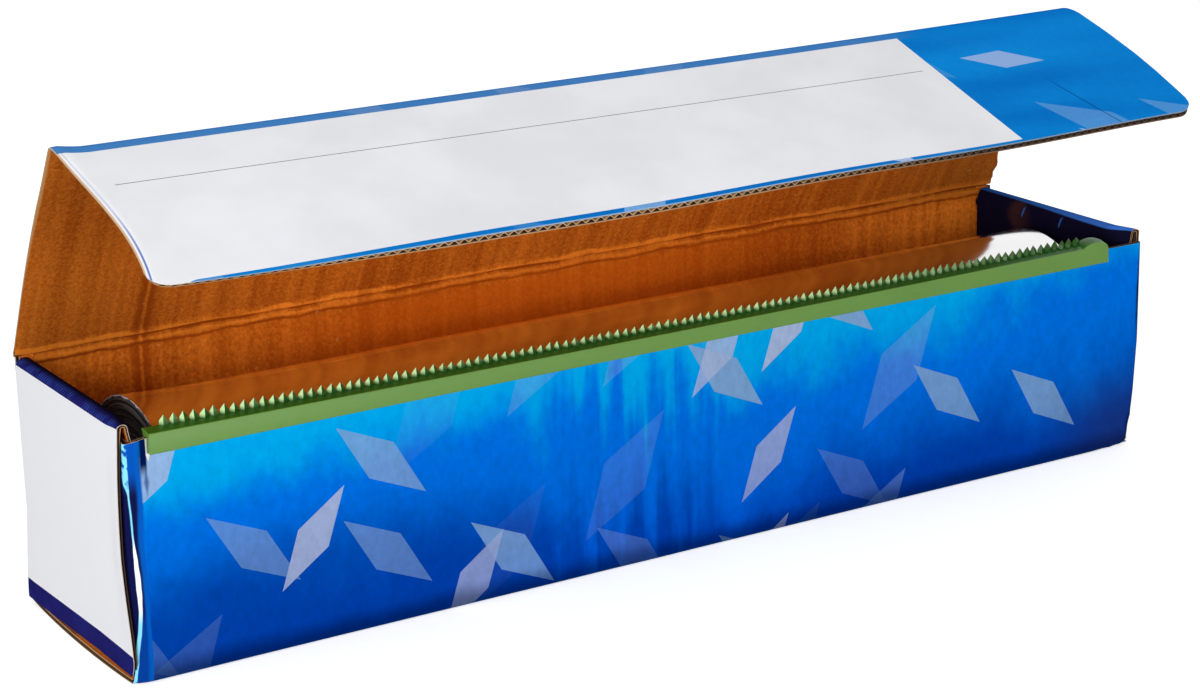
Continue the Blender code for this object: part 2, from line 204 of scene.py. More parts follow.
def add_node(tree, kind, inputs=(), **settings):
    node = tree.nodes.new(kind)
    for name, value in settings.items():
        setattr(node, name, value)
    for key, value in dict(inputs).items():
        wire(tree, node.inputs[key], value)
    return node


def times(color, factor):
    return tuple(factor * part for part in color)


def rgba(color):
    """A plain colour with its alpha; a socket stays as it is."""
    return color if isinstance(color, bpy.types.NodeSocket) else (*color, 1.0)


class Finish:
    """One material, with short ways to add the nodes that it needs."""

    def __init__(self, name, roughness, metallic=0):
        self.material = bpy.data.materials.new(name)
        self.material.use_nodes = True
        self.tree = self.material.node_tree
        self.shader = self.tree.nodes["Principled BSDF"]
        self.set("Roughness", roughness)
        self.set("Metallic", metallic)
        if metallic == 1:
            self.set("Specular Tint", (0.45, 0.65, 1, 1))

    def set(self, name, value):
        """One of the shader's own inputs."""
        wire(self.tree, self.shader.inputs[name], value)

    def color(self, value):
        self.set("Base Color", rgba(value))

    def add(self, kind, inputs=(), **settings):
        return add_node(self.tree, kind, inputs, **settings)

    def value(self, kind, inputs, output=0, **settings):
        """A new node's output, as a number to work with."""
        return Value(self, self.add(kind, inputs, **settings).outputs[output])

    def math(self, operation, first, second=0.0):
        return self.value("ShaderNodeMath", {0: first, 1: second}, operation=operation)

    def mix(self, factor, first, second):
        inputs = {0: factor, 6: rgba(first), 7: rgba(second)}
        return self.add("ShaderNodeMix", inputs, data_type="RGBA").outputs[2]

    def dimmed(self, color, factor):
        return self.add("ShaderNodeVectorMath", {0: color, 3: factor}, operation="SCALE").outputs[0]

    def part(self, vector, axis):
        return self.value("ShaderNodeSeparateXYZ", {0: vector}, axis)

    def place(self):
        return self.add("ShaderNodeTexCoord").outputs["Object"]

    def facing(self):
        """How far the surface faces to the right."""
        return self.part(self.add("ShaderNodeNewGeometry").outputs["Normal"], 0)

    def sheet(self):
        """Millimetres across and along the board, from its UV map."""
        uv = self.add("ShaderNodeUVMap", uv_map="Sheet").outputs[0]
        return self.part(uv, 0) * 100, self.part(uv, 1) * 100

    def noise(self, scale, detail=3, stretch=(1, 1, 1), vector=None, rough=0.5):
        mapped = self.add("ShaderNodeMapping", {"Vector": vector or self.place(), "Scale": stretch})
        inputs = {"Vector": mapped.outputs[0], "Scale": scale, "Detail": detail, "Roughness": rough}
        return self.value("ShaderNodeTexNoise", inputs)

    def bump(self, height, distance, strength=1):
        inputs = {"Height": height, "Distance": distance, "Strength": strength}
        self.set("Normal", self.add("ShaderNodeBump", inputs).outputs[0])


def lozenges(finish, across, along, turn, cell, spread, share, seed):
    """A scattered pattern of lozenges: the mask, and a number that is each one's own."""
    cos, sin = math.cos(turn), math.sin(turn)
    row_place = (along * cos - across * sin) / cell[1]
    row = finish.math("FLOOR", row_place)
    column_place = (across * cos + along * sin) / cell[0] + row * 0.37
    column = finish.math("FLOOR", column_place)
    key = finish.add("ShaderNodeCombineXYZ", {0: column, 1: row, 2: seed}).outputs[0]
    chance = finish.add("ShaderNodeTexWhiteNoise", {"Vector": key}, noise_dimensions="3D").outputs
    drift, tone = (finish.value("ShaderNodeSeparateColor", {0: chance["Color"]}, index) for index in (0, 1))
    here = column_place - column - ((drift - 0.5) * 0.36 + 0.5)
    there = row_place - row - 0.5
    inside = abs(here) * (cell[0] / spread[0]) + abs(there) * (cell[1] / spread[1]) < 1
    return inside * (Value(finish, chance["Value"]) < share), tone


def printed(finish, ground, across, along, colours):
    """The film's own print: pale and mid-blue lozenges in two directions."""
    mid = [0.35 * azure + 0.5 * lilac for azure, lilac in zip(colours.azure, colours.lilac)]
    faint, tone = lozenges(finish, across, along, 0.9, (62, 20), (19.5, 7.5), 0.5, 3)
    color = finish.mix(faint * (tone * 0.45), ground, mid)
    other, tone = lozenges(finish, across, along, -0.72, (50, 17), (15.5, 5.2), 0.3, 11)
    color = finish.mix(other * (tone + 0.2), color, mid)
    pale, tone = lozenges(finish, across, along, 0.93, (47, 15.5), (14.5, 4.8), 0.32, 27)
    return finish.mix(pale * (tone * 0.35 + 0.65), color, colours.lilac)


def film_wrinkles(finish, strength=0.5):
    """Fine upright pulls and soft dents of film that is glued to a fluted board."""
    pulls = finish.noise(60, 3, (2.2, 2.2, 0.35))
    dents = finish.noise(22, 2, (1, 1, 0.8))
    fine = finish.noise(420, 2)
    finish.bump(pulls * 0.35 + dents + fine * 0.03, 0.0008, strength)


def shimmer(finish, color, amount=0.22):
    """Painted reflection: fine mottling of the film's shine, painted into its colour."""
    mottle = finish.noise(520, 3, (1, 1, 0.7), rough=0.7)
    return finish.dimmed(color, mottle * (2 * amount) + (1 - amount))


def left_bend(finish, across, along, color):
    """The film's left bend, painted: painted shade over the bend, one painted highlight streak that widens at
    the top, painted shade under a wrinkle, and a painted shadow below the strip's end.
    """
    place = across + (finish.noise(200, 3, (1, 1, 0.2)) - 0.5) * 1.3
    top = along.step(46, 53)
    foot = 1 - along.step(2, 22)
    beyond = place + (foot + finish.math("MAXIMUM", along - 31, 0) * 0.03 + top * 0.6) + 149
    half = top * 0.72 + (1 - along.step(31, 36)) * 0.15
    blots = top * finish.noise(520, 2).step(0.52, 0.6)
    # painted highlight: the bright streak down the bend
    streak = (half - abs(beyond)).step(-0.17, -0.04) * (1 - blots)
    # painted shade: the bend's dark navy, lighter at the top and beside the streak low down
    navy = finish.mix(top, (0.003, 0.004, 0.05), (0, 0.07, 0.4))
    beside = beyond.step(0, 0.1) * along.step(19, 13)
    navy = finish.mix(beside, navy, (0, 0.04, 0.26))
    bend = finish.mix(place.step(-148.7, -148.2), navy, (0, 0.085, 0.42))
    middle = 1 - abs(along - 26).step(6, 12)
    light = finish.mix(middle, (0.22, 0.66, 0.9), (0.9, 0.97, 1))
    bend = finish.mix(streak, bend, light)
    # painted shade under a wrinkle below the torn corner
    wrinkle_shade = (abs(place + 146.7) + abs(along - 48.8) * 0.18).step(0.9, 0.2)
    color = finish.mix(wrinkle_shade * 0.7, color, (0, 0.03, 0.25))
    # painted shadow below the strip's left end
    shade = abs(place + 147.1).step(0.9, 0.5) * along.step(49.5, 53.5)
    turned = place.step(-147.5, -147.9)
    finish.set("Metallic", 1 - turned * 0.85)
    return finish.mix(shade, finish.mix(turned, color, bend), (0, 0.01, 0.08))


def front_film(colours):
    """Bright film on the front wall, its reflection painted into the colour: azure above a wavy border, blue
    below it, and painted shade at the bends and along the foot.
    """
    finish = Finish("Front film", 0.22, 1)
    finish.set("Specular IOR Level", 0.1)
    across, along = finish.sheet()
    # painted reflection: the azure over royal blue field stands in for the bright and dark surroundings that
    # the film mirrors, and the film's creases pull its wavy border
    wave = finish.noise(11, 2, (1, 1, 1.2)) - 0.5
    ragged = finish.noise(70, 3, (1, 1, 0.6), rough=0.65) - 0.5
    pulls = finish.noise(190, 3, (1, 1, 0.07)) - 0.5
    creased = 1 - abs(across + 14).step(10, 42)
    level = along + wave * 58 + ragged * 22 + pulls * creased * 70 - across.step(10, 130) * 16
    ground = finish.mix(level.step(4, 32), colours.royal, colours.mid_blue)
    ground = finish.mix(level.step(33, 50), ground, colours.azure)
    color = shimmer(finish, printed(finish, ground, across, along, colours))
    # painted shade along the foot of the wall, where it meets the floor
    foot = 1 - (along + ragged * 3).step(1.5, 7)
    color = finish.mix(foot * 0.6, color, (0, 0.008, 0.06))
    # painted shade over the low right corner, where the film is crumpled
    edge_tint = across.step(112, 150) * (1 - along.step(6, 30))
    color = finish.mix(edge_tint * 0.55, color, (0.02, 0.02, 0.1))
    # painted shade: the film near black where it turns round the right bend
    crumple = finish.noise(240, 3, (1, 1, 0.16)) - 0.5
    right = (across + crumple * 3).step(150.5, 151.5)
    color = finish.mix(right, color, (0.006, 0.006, 0.03))
    color = left_bend(finish, across, along, color)
    narrowing = finish.math("MINIMUM", (along - 53.6) * 0.35, 0.55)
    torn = (narrowing - abs(across + 145.9)).step(0, 0.1)
    finish.color(finish.mix(torn, color, (0.9, 0.9, 0.88)))
    film_wrinkles(finish)


def even_film(finish, across, along, colours):
    """The film's colour where it lies evenly, by the distance from the rear crease."""
    rays = finish.noise(26, 2, (0.35, 1.6, 1.6))
    ground = finish.mix(rays.step(0.35, 0.7), (0.008, 0.27, 0.7), (0.005, 0.185, 0.57))
    finish.set("Specular IOR Level", 0)
    finish.set("Specular Tint", (0, 0.3, 0.8, 1))
    return shimmer(finish, printed(finish, ground, across, along, colours), 0.12)


def plain_film(colours):
    """The same film where it lies evenly: lid, back wall and underside."""
    finish = Finish("Blue film", 0.3, 0.4)
    aside = abs(finish.facing()).step(0.45, 0.6)
    finish.color(finish.mix(aside, even_film(finish, *finish.sheet(), colours), colours.label))
    finish.set("Metallic", (1 - aside) * 0.4)
    film_wrinkles(finish, 0.25)


def end_film(colours):
    """The ends: a white field on the outer layer, navy film round it and over the fold, painted highlights on
    the fold's ridges and crown, and inside the fold painted shade with a painted reflection of the lid and
    painted highlight strokes.
    """
    finish = Finish("End print", 0.3)
    finish.set("Specular IOR Level", 0)
    across, along = finish.sheet()
    field = (along > 5.4 - across * 0.006) * (along < 59.7)
    navy = finish.mix(finish.noise(140), colours.navy, times(colours.navy, 0.45))
    # painted highlights on the flute ridges along the crown
    ridge_highlight = finish.math("SINE", across * 5.2).step(-0.1, 0.9) * finish.noise(260, 2).step(0.35, 0.6)
    crown = abs(along - 60.9).step(1.3, 0.7)
    navy = finish.mix(ridge_highlight * crown * 0.8, navy, (0.03, 0.08, 0.38))
    # inside the fold: painted shade, a painted brownish reflection of the kraft lid, and painted blue
    # highlight strokes
    shine = finish.noise(55, 2).step(0.52, 0.66) * across.step(34, 50)
    dark = finish.mix(shine * 0.5, (0.007, 0.006, 0.024), (0.09, 0.035, 0.02))
    above = along - 66
    for centre in (43, 26.5):
        highlight_stroke = abs(across - above * 0.25 - centre).step(0.45, 0.2) * abs(above).step(2.2, 1.2)
        dark = finish.mix(highlight_stroke * 0.8, dark, (0.03, 0.16, 0.6))
    navy = finish.mix(along.step(60.7, 62.3), navy, dark)
    # painted highlight along the right wall's crown, wider and brighter towards the front
    rightward = finish.part(finish.place(), 0) > 0
    nearness = across.step(55, 10)
    line = (abs(along - 61.7) - nearness * 0.7).step(1.5, 1.1)
    crown_highlight = finish.mix(nearness, (0.02, 0.12, 0.5), (0.05, 0.22, 0.85))
    navy = finish.mix(line * rightward * 0.85, navy, crown_highlight)
    finish.color(finish.mix(field, navy, times(colours.label, 0.8)))
    film_wrinkles(finish)


def flap_print(colours):
    """The flap's outer face: a white label with blue borders, then bare film to the right, with a painted
    highlight along its crease and painted shade along a kink.
    """
    finish = Finish("Flap print", 0.3)
    across, along = finish.sheet()
    lid_depth = float(np.linalg.norm(FLAP_HINGE - LID_HINGE)) / MM
    film = even_film(finish, across, along + lid_depth, colours)
    # painted highlight along the crease on the bare film
    crease = along.step(4.2, 3.8) * across.step(96, 76)
    film = finish.mix(crease * 0.85, film, (0.085, 0.225, 0.5))
    # painted shade along a kink in the film
    kink = abs(across - along * 0.19 - 107.1).step(0.35, 0.15) * along.step(30, 40)
    film = finish.mix(kink * 0.6, film, (0.006, 0.03, 0.16))
    aside, down = across - 108, along - 21
    single = abs(aside + down * 0.45) / 13.5 + abs(down - aside * 0.3) / 5 < 1
    film = finish.mix(single * 0.7, film, colours.lilac)
    foot = 59.3 - across * 0.006 - across.step(-80, -150) * 1.4 + across.step(-143, -149.5) * 2.6
    field = (across < 85.2) * (along > 3.4) * (along < foot)
    rule = (abs(along - across * 0.0107 - 20) < 0.13) * (across > -145.2) * (across < 81.2)
    mottle = finish.noise(40, 4).step(0.3, 0.7)
    label = finish.mix(mottle, times(colours.label, 0.95), times(colours.label, 1.03))
    label = finish.mix(rule, label, (0.2, 0.2, 0.21))
    off_middle = along - 33
    low = finish.math("MAXIMUM", off_middle, 0)
    from_edge = across + 150.9 + (off_middle * off_middle * 0.0022 + low * low * 0.0029)
    line = abs(from_edge - 1).step(0.3, 0.15) * (along.step(20, 50) * 0.6 + 0.25)
    label = finish.mix(line, label, (0.01, 0.11, 0.5))
    label = finish.mix(from_edge.step(0.34, 0.22), label, (0.72, 0.42, 0.2))
    finish.color(finish.mix(field, film, label))
    finish.set("Metallic", (1 - field) * 0.4)
    film_wrinkles(finish, 0.25)


def kraft_board(colours, name="Kraft liner", scored=False, shaded_from=(-2, 3)):
    """Brown kraft liner: grain, long soft streaks along the flutes, pale specks, a tan band at the left edge,
    a pressed line and the scored hinge as painted light and shade, painted shade towards the lid's ends, and
    painted light on the back wall's middle.
    """
    finish = Finish(name, 0.9)
    finish.set("Specular IOR Level", 0.06)
    across, along = finish.sheet()
    flat = finish.add("ShaderNodeCombineXYZ", {0: across, 1: along * 0.03}).outputs[0]
    streaks, clouds, grain = finish.noise(0.22, vector=flat), finish.noise(16), finish.noise(1300)
    flutes = finish.math("SINE", across * 2.4)
    # painted light and shade of a pressed line: a light line between darker bands
    mark = abs(across + 119.6)
    line = mark.step(0.7, 0.2) - mark.step(3.5, 0.8) * 1.2
    tone = streaks * 0.34 + clouds * 0.3 + grain * 0.36 + flutes * 0.012 + line * 0.13
    if scored:
        # painted highlight and shade: light and dark bands along the scored hinge's ridges
        wavering = along + (finish.noise(110, 2) - 0.5) * 2.6
        pressed = ((1.1, 0.9, 0.16), (-0.3, 0.5, -0.3), (-1.7, 0.8, 0.13), (-2.9, 0.5, -0.18))
        for centre, width, lift in pressed:
            tone = tone + abs(wavering - centre).step(width, width * 0.2) * lift
    red, green, blue = colours.kraft
    dark = (red * 0.5, green * 0.38, blue * 0.3)
    pale = (min(1, red * 1.25), green * 1.5, blue * 2.5)
    color = finish.mix(tone.step(0.32, 0.72), dark, pale)
    specks = finish.noise(420, 1).step(0.76, 0.8)
    color = finish.mix(specks * 0.3, color, (0.85, 0.45, 0.15))
    # a tan band along the left edge of the liner
    edge_tint = (across + clouds * 0.8).step(-152.1, -152.6)
    color = finish.mix(edge_tint * 0.7, color, (0.75, 0.4, 0.14))
    # painted shade: the lid darker towards both ends
    lid = along.step(*shaded_from)
    sides = finish.math("MAXIMUM", 1 - across.step(-150, -65), across.step(60, 145) * 1.2)
    color = finish.dimmed(color, 1 - lid * sides * 0.42)
    # painted light: the back wall's middle brighter and warmer
    painted_warm_light = (1 - abs(across).step(20, 120)) * (1 - lid)
    finish.color(finish.mix(painted_warm_light * 0.6, color, (0.72, 0.13, 0.004)))
    finish.bump(streaks + grain * 0.5, 0.00012, 0.6)


def edge_finish(name, color, roughness, rightward_darkening, filmed=None):
    """A cut edge's uneven colour, darker towards the right end, and filmed right of the left rims."""
    finish = Finish(name, roughness)
    rightward = finish.part(finish.place(), 0)
    uneven = finish.mix(finish.noise(500), times(color, 0.65), color)
    if filmed:
        uneven = finish.mix(rightward.step(-0.145, -0.14), uneven, filmed)
    finish.color(finish.mix(rightward.step(-0.02, 0.09) * rightward_darkening, uneven, (0.02, 0.01, 0.007)))


def plain_finish(name, color, roughness, grain=0):
    """One colour, with a little unevenness where grain is above 0."""
    finish = Finish(name, roughness)
    if grain:
        color = finish.mix(finish.noise(500), times(color, 1 - grain), color)
    finish.color(color)
    return finish.material


def end_edge(colours):
    """The inner liner's edge on the carton's ends: painted shade down the side, brown where it folds over."""
    finish = Finish("End edge", 0.85)
    along = finish.sheet()[1]
    finish.color(finish.mix(along.step(54, 60), (0.02, 0.01, 0.008), colours.raw_edge))


def ramp(value, start, length):
    """0 before a start, 1 from a length beyond it, even between."""
    return np.clip((value - start) / length, 0, 1)


def hump(value, centre, width):
    """1 at a centre, falling off on both sides."""
    return np.exp(-(((value - centre) / width) ** 2))


def curve(value, places, heights):
    """A curve through points given in millimetres."""
    return np.interp(value, np.array(places) * MM, np.array(heights) * MM)


class Fold:
    """A bent line in a plane, with its right-hand side as the board's outer side."""

    def __init__(self, corners, bends, bend_steps=10):
        corners = [np.array(corner, float) for corner in corners]
        points, headings = [corners[0]], [corners[1] - corners[0]]
        for before, corner, after, radius in zip(corners, corners[1:], corners[2:], bends):
            way_in = (corner - before) / np.linalg.norm(corner - before)
            way_out = (after - corner) / np.linalg.norm(after - corner)
            cross = way_in[0] * way_out[1] - way_in[1] * way_out[0]
            turn = math.atan2(cross, way_in @ way_out)
            start = corner - way_in * radius * math.tan(abs(turn) / 2)
            side = np.array([-way_in[1], way_in[0]]) * math.copysign(radius, turn)
            for share in np.linspace(0, 1, bend_steps + 1):
                cos, sin = math.cos(turn * share), math.sin(turn * share)
                spin = np.array([[cos, -sin], [sin, cos]])
                points.append(start + side - spin @ side)
                headings.append(spin @ way_in)
        points.append(corners[-1])
        headings.append(corners[-1] - corners[-2])
        self.points = np.array(points)
        headings = np.array(headings)
        headings /= np.linalg.norm(headings, axis=1)[:, None]
        self.normals = np.stack([headings[:, 1], -headings[:, 0]], 1)
        steps = np.linalg.norm(np.diff(self.points, axis=0), axis=1)
        self.lengths = np.concatenate([[0], np.cumsum(steps)])
        self.length = self.lengths[-1]

    def at(self, along, offset):
        """The point at a length along the fold, and a distance to its outer side."""
        return tuple(
            np.interp(along, self.lengths, self.points[:, axis])
            + offset * np.interp(along, self.lengths, self.normals[:, axis])
            for axis in (0, 1)
        )

    def near(self, point):
        """The length along the fold that is nearest to a point."""
        return self.lengths[np.argmin(np.linalg.norm(self.points - np.array(point), axis=1))]


class Builder:
    """Gathers closed sheets into one mesh, with materials and a map in decimetres."""

    def __init__(self):
        self.points, self.faces, self.slots, self.maps = [], [], [], []
        self.count = 0

    def sheet(self, upper, lower, across, along, slots, closed=False):
        """A thin closed sheet between two grids of points; slots are for upper, lower and rim."""
        rows, columns = upper.shape[:2]
        first = self.count
        index = np.arange(rows * columns).reshape(rows, columns)
        for grid in (upper, lower):
            self.points.append(grid.reshape(-1, 3))
            self.maps.append(np.stack([across.ravel(), along.ravel()], 1) * 10)
        second = first + rows * columns
        self.count = second + rows * columns
        around = np.concatenate([index, index[:, :1]], 1) if closed else index
        corners = (around[:-1, :-1], around[:-1, 1:], around[1:, 1:], around[1:, :-1])
        quads = np.stack(corners, -1).reshape(-1, 4)
        self.keep(quads + first, slots[0])
        self.keep(quads[:, ::-1] + second, slots[1])
        rims = [around[0], around[-1][::-1]] if closed else [
            np.concatenate([index[0], index[1:, -1], index[-1, ::-1][1:], index[::-1, 0][1:]])
        ]
        for rim in rims:
            quads = np.stack([rim[:-1] + first, rim[:-1] + second, rim[1:] + second, rim[1:] + first], 1)
            self.keep(quads, slots[2])

    def keep(self, quads, slot):
        self.faces.extend(quads.tolist())
        self.slots.extend([slot] * len(quads))

    def finish(self, name, materials, smooth=40):
        mesh = bpy.data.meshes.new(name)
        points = np.concatenate(self.points)
        mesh.from_pydata(points.tolist(), [], self.faces)
        mesh.polygons.foreach_set("material_index", self.slots)
        for material in materials:
            mesh.materials.append(material)
        corner_points = np.zeros(len(mesh.loops), int)
        mesh.loops.foreach_get("vertex_index", corner_points)
        layer = mesh.uv_layers.new(name="Sheet")
        layer.data.foreach_set("uv", np.concatenate(self.maps)[corner_points].astype(np.float32).ravel())
        return add_piece(name, mesh, smooth)


def add_piece(name, mesh, smooth=40):
    """Puts a mesh in the scene, its faces pointing outwards."""
    bm = bmesh.new()
    bm.from_mesh(mesh)
    bmesh.ops.recalc_face_normals(bm, faces=bm.faces)
    bm.to_mesh(mesh)
    bm.free()
    mesh.shade_smooth()
    mesh.set_sharp_from_angle(angle=math.radians(smooth))
    obj = bpy.data.objects.new(name, mesh)
    bpy.context.scene.collection.objects.link(obj)
    return obj


def add_board(builder, surface, along, across, sizes, fluting=None, mapped=None):
    """Two liners, and between them a fluted sheet whose waves run across.

    The surface takes lengths along and across and a distance from the board's middle. Fluting gives
    the rows and the range across of the wavy sheet, where the board is open to view. Mapped turns
    lengths into the place on the print, where that is something else.
    """
    half = sizes.board / 2
    rows, columns = np.meshgrid(along, across, indexing="ij")
    levels = [half, half - sizes.liner, sizes.liner - half, -half]
    grids = [surface(rows, columns, level) for level in levels]
    print_place = mapped(rows, columns) if mapped else (columns, rows)
    builder.sheet(grids[0], grids[1], *print_place, (0, 5, 4))
    builder.sheet(grids[2], grids[3], *print_place, (5, 1, 2))
    if fluting is None:
        return
    wave_rows, (low, high) = fluting
    steps = int((high - low) / sizes.flute_pitch * 10)
    rows, columns = np.meshgrid(wave_rows, np.linspace(low, high, steps), indexing="ij")
    swing = half - sizes.liner - sizes.fluting / 2
    wave = swing * np.sin(2 * math.pi * columns / sizes.flute_pitch)
    upper = surface(rows, columns, wave + sizes.fluting / 2)
    lower = surface(rows, columns, wave - sizes.fluting / 2)
    builder.sheet(upper, lower, columns, rows, (3, 3, 3))


def carton_fold(sizes):
    """The carton's girth as one bent line: floor, back wall, lid and flap."""
    wall = CARTON_HIGH.y - sizes.board / 2
    floor = sizes.board / 2
    lid_way = (FLAP_HINGE - LID_HINGE)[1:]
    lid_way /= np.linalg.norm(lid_way)
    fold = math.radians(FLAP_FOLD_DEGREES)
    cos, sin = math.cos(fold), math.sin(fold)
    flap_way = np.array([cos * lid_way[0] - sin * lid_way[1], sin * lid_way[0] + cos * lid_way[1]])
    lid, flap = LID_HINGE[1:], FLAP_HINGE[1:]
    corners = [(1.4 * MM - wall, floor), (wall, floor), lid, flap, flap + flap_way * 75 * MM]
    return Fold(corners, [1.2 * MM, 1.6 * MM, 1.5 * MM])


def foot_bulge(height):
    """How far the left end's foot stands out at its back."""
    return 1.3 * MM * ramp(-height, -24 * MM, 20 * MM)


def lines(*spans):
    """Numbers from span to span, each span given as its start, its end and its steps."""
    parts = [np.linspace(low, high, steps, endpoint=False) for low, high, steps in spans]
    return np.concatenate(parts + [[spans[-1][1]]])


def finishes():
    """The materials that several pieces share, made once."""
    colours = bpy.context.scene.film_colours
    if "Kraft liner" not in bpy.data.materials:
        front_film(colours)
        plain_film(colours)
        end_film(colours)
        flap_print(colours)
        kraft_board(colours)
        kraft_board(colours, "Scored kraft", scored=True, shaded_from=(-6, 0))
        kraft_board(colours, "Crease kraft", shaded_from=(-60, -50))
        edge_finish("Raw edge", colours.raw_edge, 0.85, 0.65)
        edge_finish("Pale edge", colours.pale_edge, 0.7, 0.3, filmed=(0.24, 0.34, 0.46))
        edge_finish("Fluting", times(colours.raw_edge, 1.5), 0.9, 0.92)
        # painted shade: near black and dark brown stand in for the shade in the flutes' hollows
        plain_finish("Flute shade", (0.035, 0.015, 0.006), 0.95)
        plain_finish("Deep board shade", (0.16, 0.07, 0.02), 0.95)
        end_edge(colours)
    return bpy.data.materials


def board_finishes(
    outer, inner="Kraft liner", edge="Raw edge", flutes="Fluting", outer_edge="Pale edge", void="Flute shade"
):
    """Materials by slot; void is the painted shade that the liners show to the flutes."""
    shared = finishes()
    return [shared[name] for name in (outer, inner, edge, flutes, outer_edge, void)]


def front_wall(sizes):
    """The front wall, bent round both upright corners, with its film pulled, dented and crumpled at the right
    foot.
    """
    wall = CARTON_HIGH.y - sizes.board / 2
    reach = CARTON_HIGH.x - 2.2 * MM
    right = CARTON_HIGH.x - 0.65 * MM
    top = STRIP_HIGH.z - 4.5 * MM
    corners = [(-reach, -0.015), (-reach, -wall), (right, -wall), (right, -wall + 1.8 * MM)]
    plan = Fold(corners, [2.8 * MM, 1.2 * MM], 14)
    middle = np.interp(0, plan.points[:, 0], plan.lengths)

    def surface(height, along, offset):
        x, y = plan.at(along + middle, offset)
        spread = curve(height, (0, 3.5, 12, 31, 60), (-1.9, -0.5, 0.6, 1.7, 1.5))
        x = x + spread * ramp(x, 0.11, 0.042) ** 2
        wrap = curve(height, (0, 2, 5, 12, 31, 60), (2.3, 1.8, 0.9, 0.5, 0.5, 0.9))
        swell = 1.1 * MM * np.sin(math.pi * ramp(height, 0, CARTON_HIGH.z - 1.15 * MM))
        x = x - swell * ramp(-x, 0.1475, 0.0035) * ramp(-y, 18 * MM, 10 * MM)
        x = x - wrap * ramp(-x, 0.1455, 0.005) ** 2 * ramp(-y, 30.4 * MM, 1.3 * MM)
        droop = 0.8 * MM * (height / top) ** 4 * ramp(-x, 0.1472, 0.0035)
        corner = ramp(x, 0.138, 0.012) * ramp(-height, -0.016, 0.016)
        y = y + 0.8 * MM * corner * np.abs(np.sin(x / 0.0021 + height / 0.003)) ** 0.6
        pulls = hump(x, -0.02, 0.035) * np.sin(x / 0.0052 + 2.4 * np.sin(height / 0.021))
        dents = np.sin(x / 0.041 + 1) * np.sin(height / 0.023 + x / 0.09)
        fade = ramp(-height, -0.055, 0.02) * ramp(-abs(x), -0.14, 0.02)
        y = y + fade * (0.05 * MM * pulls + 0.12 * MM * dents)
        below = np.clip(1.5 * MM - height, 0, 1.5 * MM)
        y = y + 1.5 * MM - np.sqrt((1.5 * MM) ** 2 - below**2)
        return np.stack([x, y, height - droop], -1)

    bend = reach - 4 * MM
    end = plan.length - middle
    before = -bend - 8 * MM
    across = lines((-middle, before, 8), (before, -bend, 36), (-bend, bend, 420), (bend, end, 36))
    along = lines((0.08 * MM, 1.5 * MM, 8), (1.5 * MM, top, 32))
    builder = Builder()
    fluting = (np.linspace(top - 8 * MM, top - 0.15 * MM, 3), (-bend - 4 * MM, bend + 4 * MM))
    add_board(builder, surface, along, across, sizes, fluting)
    return builder.finish("front_wall", board_finishes("Front film"))


def floor_and_back(sizes):
    """Floor and back wall as one bent board, with their bends to the carton's ends."""
    fold = carton_fold(sizes)
    hinge = fold.near(LID_HINGE[1:])
    ends = CARTON_HIGH.x - 5 * MM

    def surface(along, across, offset):
        y, z = fold.at(along, offset)
        return np.stack([across + 0 * y, y, z], -1)

    def from_hinge(rows, columns):
        return columns, rows - hinge

    builder = Builder()
    edge = hinge - sizes.crease_reach
    along = lines((0, 4 * MM, 10), (4 * MM, 64 * MM, 12), (64 * MM, 70 * MM, 12), (70 * MM, edge, 20))
    add_board(builder, surface, along, np.linspace(-ends, ends, 60), sizes, None, from_hinge)
    outer = CARTON_HIGH.x - 0.1 * MM
    end, wall = CARTON_HIGH.x - sizes.board / 2, CARTON_HIGH.y - sizes.board / 2
    corner = Fold([(ends, wall), (end, wall), (end, wall - 1.25 * MM)], [1.2 * MM])
    for side in (-1, 1):

        def floor_end(along, across, offset):
            middle = np.cos(math.pi * along / (2 * wall)) ** 0.7
            x = side * (ends + (outer - ends + 1.4 * MM * middle) * across)
            z = sizes.board / 2 - offset * (1 + 0.5 * middle * (offset < 0)) + 0 * along
            return np.stack([x, along, z], -1)

        def back_corner(height, along, offset):
            x, y = corner.at(along, -offset)
            if side < 0:
                x = x + foot_bulge(height) * ramp(along, 0, corner.length / 2)
            return np.stack([side * x, y, height + 0 * x], -1)

        depths = np.linspace(-wall + 1.6 * MM, wall - 0.3 * MM, 24)
        add_board(builder, floor_end, depths, np.linspace(0, 1, 4), sizes)
        heights = np.linspace(1.7 * MM, CARTON_HIGH.z - 0.3 * MM, 20)
        add_board(builder, back_corner, heights, np.linspace(0, corner.length, 24), sizes)
    return builder.finish("floor_and_back_wall", board_finishes("Blue film", void="Deep board shade"))


